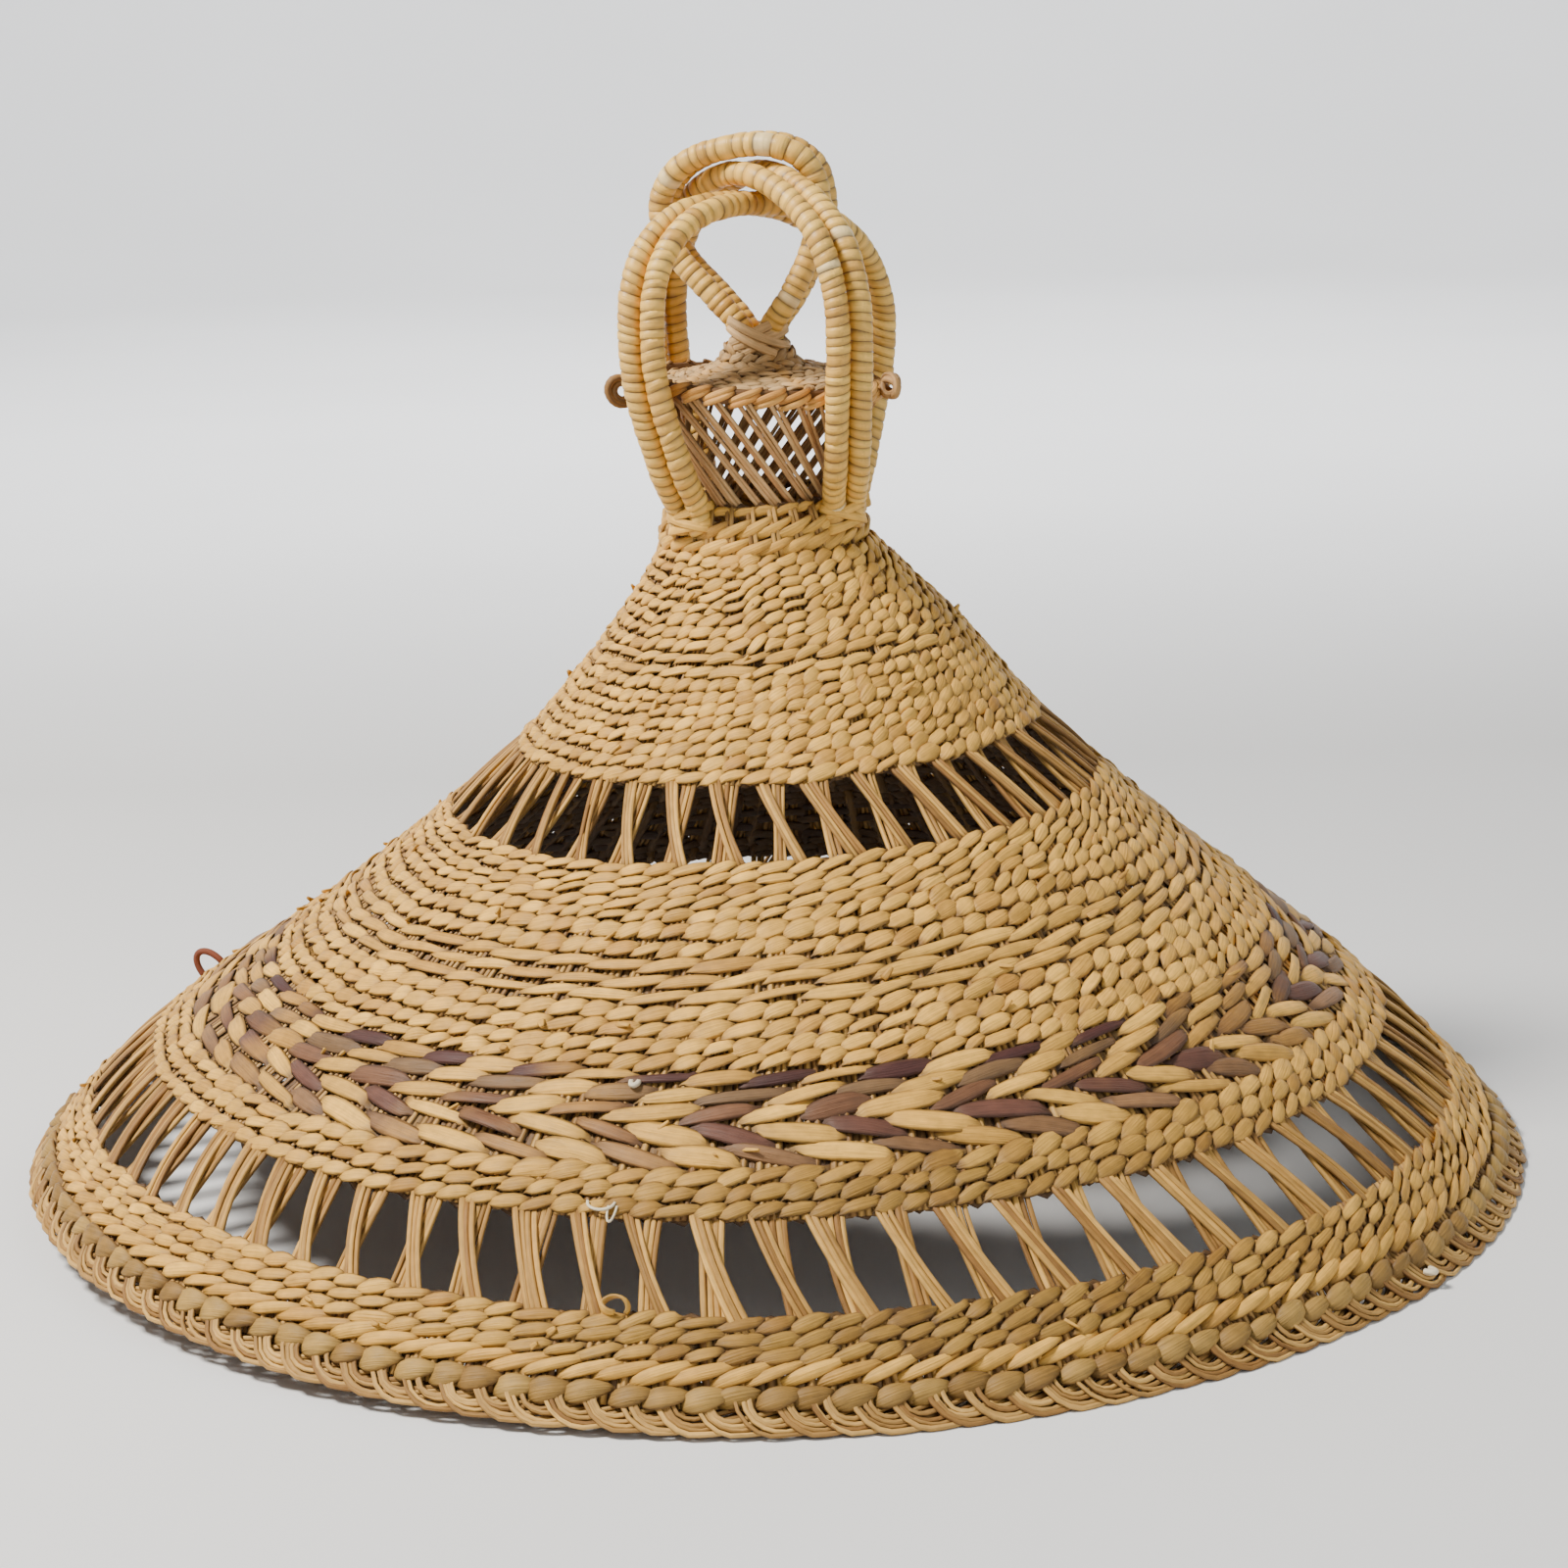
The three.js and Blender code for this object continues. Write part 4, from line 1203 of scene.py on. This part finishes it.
# Small ends: a strap loop and a knot where the collar's strips are tied off beside the hoops, and
# a loop of reddish-brown cord on the left side of the cone, by which the hat can be hung up.
COLLAR_LOOP = [
    Point(-31.0, -7.9, 209.2),
    Point(-33.6, -9.2, 210.6),
    Point(-36.2, -10.1, 210.4),
    Point(-37.6, -10.4, 207.8),
    Point(-36.6, -10.2, 205.0),
    Point(-34.2, -9.4, 203.6),
    Point(-31.2, -8.2, 204.4),
]
SIDE_LOOP_HEIGHT = 41.5
SIDE_LOOP_ANGLE = math.radians(166)
SIDE_LOOP_HALF = 3.6
SIDE_LOOP_OUT = 6.2
CORD_THICKNESS = 1.9
CORD_BROWN = linear(122, 70, 52)
STRAP_BROWN = linear(138, 100, 54)
KNOT_TAN = linear(190, 146, 92)
LOOP_CENTRE = np.array([-33.5, -9.2, 207.0])
loop = Strips()
for scale in (1.0, 0.62):
    line = LOOP_CENTRE + scale * (smooth_path(COLLAR_LOOP, 16) - LOOP_CENTRE)
    facing = unit(line - LOOP_CENTRE)
    loop.add(line[None], facing[None], 3.0, 1.9, STRAP_BROWN * (0.7 + 0.4 * scale), 0.15, 8)
collar_loop = loop.piece("collar_loop_strap", crossed)
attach(collar_loop, "root")
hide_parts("collar_loop")

knot = Strips()
KNOT_CENTRE = np.array([35.4, -7.4, 206.2])
KNOT_LOOPS = ((0.5, 2.6), (1.6, 3.0), (2.6, 2.2))
knot_turn = np.arange(20)[:, None] / 20 * FULL_TURN
for tip, size in KNOT_LOOPS:
    swing = unit(np.array([math.cos(tip), 0.5, math.sin(tip)]))
    lift = unit(np.array([-math.sin(tip) * 0.5, 0.85, math.cos(tip)]))
    line = KNOT_CENTRE + size * (np.cos(knot_turn) * swing + np.sin(knot_turn) * lift)
    knot.add(line[None], unit(line - KNOT_CENTRE)[None], 2.4, 1.5, KNOT_TAN, 0.15, 8, closed=True)
collar_knot = knot.piece("collar_knot_strips", crossed)
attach(collar_knot, "root")
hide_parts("collar_knot")

cord = Strips()
sweep = np.linspace(-math.pi / 2, math.pi / 2, 17)
cord_up = SIDE_LOOP_HALF * np.sin(sweep)
cord_out = SIDE_LOOP_OUT * np.cos(sweep) - 0.4
cord_line = on_cone(SIDE_LOOP_HEIGHT, SIDE_LOOP_ANGLE, cord_up, cord_out)
cord_facing = np.broadcast_to([0.0, 1.0, 0.0], cord_line.shape)
cord.add(cord_line[None], cord_facing[None], CORD_THICKNESS, CORD_THICKNESS, CORD_BROWN, 0.0, 8)
cord_finish = grass("brown_twisted_cord", 0.5, 0.75, 0.6, 0.3, 0.2)
side_loop = cord.piece("side_loop_cord", cord_finish)
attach(side_loop, "root")
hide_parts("side_loop")


# Odd ends of the handwork: short ends of strips stick out between the stitches where a new strip
# was laid in, and at the front a loop of white thread and a curled strip were left by a mend.
END_COUNT = 110
END_STANDS_OUT = 1.9
END_BANDS = ((13.5, 19.0), (41.0, 98.0), (119.0, 164.0))
THREAD_WHITE = linear(226, 212, 180)
ends = Strips()
end_draw = np.random.default_rng(131)
band = end_draw.choice(3, END_COUNT, p=[0.2, 0.5, 0.3])
low, high = np.array(END_BANDS).T
end_height = end_draw.uniform(low[band], high[band])[:, None]
end_angle = end_draw.uniform(0, FULL_TURN, (END_COUNT, 1))
end_turn = end_draw.uniform(-0.9, 0.9, (END_COUNT, 1))
end_length = end_draw.uniform(2.0, 4.2, (END_COUNT, 1))
along = np.linspace(0, 1, 5)[None, :]
up = end_length * along * np.sin(end_turn)
around = end_angle + end_length * along * np.cos(end_turn) / cone_size(end_height, "radius")
out = -0.4 + END_STANDS_OUT * along * end_draw.uniform(0.5, 1.1, (END_COUNT, 1))
line = on_cone(end_height, around, up, out)
facing = unit(on_cone(end_height, around, up, out + 1) - line)
width = end_draw.uniform(0.9, 2.4, (END_COUNT, 1)) * (1 - 0.55 * along**2)
# Painted shade darkens each end where it comes out between the stitches.
tuck = 0.35 * (1 - along) * np.ones_like(width)
ends.add(line, facing, width, 0.8, straw_hues(end_draw, END_COUNT)[:, None], tuck, 6)
strip_ends = ends.piece("strip_ends", pale_grass)
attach(strip_ends, "root")
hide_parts("middle_cone")

mend = Strips()
Arc = namedtuple("Arc", "height angle width drop lift thick")
THREADS = [
    Arc(40.6, -103.6, 6.4, 2.4, 1.0, 0.75),
    Arc(40.0, -102.6, 2.0, 4.4, 0.8, 0.6),
    Arc(61.0, -103.7, 1.8, 1.6, 1.2, 1.3),
    Arc(3.6, -38.4, 2.4, 1.4, 2.9, 1.5),
]
sweep = np.linspace(-math.pi / 2, math.pi / 2, 11)
for arc in THREADS:
    around = math.radians(arc.angle) + arc.width / 2 * np.sin(sweep) / cone_size(arc.height, "radius")
    line = on_cone(arc.height, around, -arc.drop * np.cos(sweep), arc.lift * (0.4 + 0.6 * np.cos(sweep)))
    facing = unit(on_cone(arc.height, around, 0, 1 + 0 * sweep) - on_cone(arc.height, around))
    mend.add(line[None], facing[None], arc.thick, arc.thick, THREAD_WHITE, 0.0, 6)
white_thread = mend.piece("white_thread", stalks)
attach(white_thread, "root")
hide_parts("middle_cone")

CURL_HEIGHT = 22.6
CURL_ANGLE = math.radians(-101.3)
CURL_WIDTH = 3.6
CURL_RISE = 2.8
CURL_RADIUS = 181
curl = Strips()
curl_turn = np.linspace(-0.6, 1.55 * math.pi, 18)
shrink = np.linspace(1, 0.6, 18)
curl_angle = CURL_ANGLE + CURL_WIDTH * shrink * np.cos(curl_turn) / CURL_RADIUS
curl_up = CURL_RISE * shrink * np.sin(curl_turn)
curl_line = on_cone(CURL_HEIGHT, curl_angle, curl_up, 0.4 + 0.5 * np.sin(2 * curl_turn))
curl_middle = on_cone(CURL_HEIGHT, CURL_ANGLE)
curl.add(curl_line[None], unit(curl_line - curl_middle)[None], 2.5, 0.8, PALE_STRAW * 0.9, 0.1, 8)
strip_curl = curl.piece("strip_curl", pale_grass)
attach(strip_curl, "root")
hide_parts("brim_band")


# Floor, light and camera: a pale floor that rises behind, soft daylight from the upper left, and
# the camera a little above the hat, as it was seen.
FLOOR_RADIUS = 2.6
FLOOR_CURVE = 1.1
FLOOR_STEPS = 96
WALL_TOP = 3.0
profile = [(0.4, 0.0), (1.4, 0.0)]
for turn in np.linspace(0, math.pi / 2, 13):
    profile.append((FLOOR_RADIUS + FLOOR_CURVE * math.sin(turn), FLOOR_CURVE * (1 - math.cos(turn))))
profile.append((FLOOR_RADIUS + FLOOR_CURVE, WALL_TOP))
around = np.arange(FLOOR_STEPS) / FLOOR_STEPS * FULL_TURN
floor_points = [(0.0, 0.0, 0.0)]
for out, up in profile:
    floor_points += [(out * math.cos(angle), out * math.sin(angle), up) for angle in around]
floor_faces = [(0, 1 + spoke, 1 + (spoke + 1) % FLOOR_STEPS) for spoke in range(FLOOR_STEPS)]
for ring in range(len(profile) - 1):
    inner = 1 + ring * FLOOR_STEPS
    outer = inner + FLOOR_STEPS
    for spoke in range(FLOOR_STEPS):
        after = (spoke + 1) % FLOOR_STEPS
        floor_faces.append((inner + spoke, outer + spoke, outer + after, inner + after))
floor_mesh = bpy.data.meshes.new("floor")
floor_mesh.from_pydata(floor_points, [], floor_faces)
floor_mesh.shade_smooth()
floor = bpy.data.objects.new("floor", floor_mesh)
bpy.context.scene.collection.objects.link(floor)
floor_finish = Finish("pale_floor")
floor_grain = floor_finish.node("ShaderNodeTexCoord", {}, {}, "Object")
mottle = floor_finish.noise(floor_grain, 2.5)
floor_stops = {"stops": ((0.3, 0.74), (0.7, 0.78))}
floor_shade = floor_finish.node("ShaderNodeValToRGB", floor_stops, {"Fac": mottle})
floor_surface = {"Base Color": floor_shade, "Roughness": 0.8}
floor_shader = floor_finish.node("ShaderNodeBsdfPrincipled", {}, floor_surface)
floor_finish.node("ShaderNodeOutputMaterial", {}, {"Surface": floor_shader})
floor_mesh.materials.append(floor_finish.material)

world = bpy.data.worlds.new("soft_room")
bpy.context.scene.world = world
world.use_nodes = True
world.node_tree.nodes["Background"].inputs["Color"].default_value = (0.95, 0.97, 1.0, 1)
world.node_tree.nodes["Background"].inputs["Strength"].default_value = 0.22

Lamp = namedtuple("Lamp", "name place target size power colour")
HAT_MIDDLE = (0.0, 0.0, 0.1)
LAMPS = [
    Lamp("window", (-0.75, -0.25, 1.2), HAT_MIDDLE, 0.3, 38, (1.0, 0.96, 0.9)),
    Lamp("room", (1.2, -1.0, 0.9), HAT_MIDDLE, 1.4, 10.5, (0.86, 0.95, 1.0)),
    Lamp("wall_wash", (0.0, 1.0, 1.6), (0.0, 3.6, 0.7), 1.0, 110, (0.97, 0.98, 1.0)),
]
for lamp in LAMPS:
    light = bpy.data.lights.new(lamp.name, "AREA")
    light.size = lamp.size
    light.energy = lamp.power
    light.color = lamp.colour
    lamp_object = bpy.data.objects.new(lamp.name, light)
    back = unit(np.array(lamp.place) - np.array(lamp.target))
    right = unit(np.cross([0, 0, 1], back))
    up = np.cross(back, right)
    turned = Matrix(np.stack([right, up, back], 1).tolist()).to_4x4()
    lamp_object.matrix_world = Matrix.Translation(lamp.place) @ turned
    bpy.context.scene.collection.objects.link(lamp_object)

CAMERA_PLACE = (0.00471, -0.9, 0.3144)
CAMERA_PITCH = math.radians(13.43)
CAMERA_ROLL = 0.0307
CAMERA_LENS = 79.33
camera_data = bpy.data.cameras.new("camera")
camera_data.lens = CAMERA_LENS
camera_data.sensor_width = 36
camera = bpy.data.objects.new("camera", camera_data)
aim = Matrix.Rotation(math.pi / 2 - CAMERA_PITCH, 4, "X") @ Matrix.Rotation(-CAMERA_ROLL, 4, "Z")
camera.matrix_world = Matrix.Translation(CAMERA_PLACE) @ aim
bpy.context.scene.collection.objects.link(camera)
bpy.context.scene.camera = camera
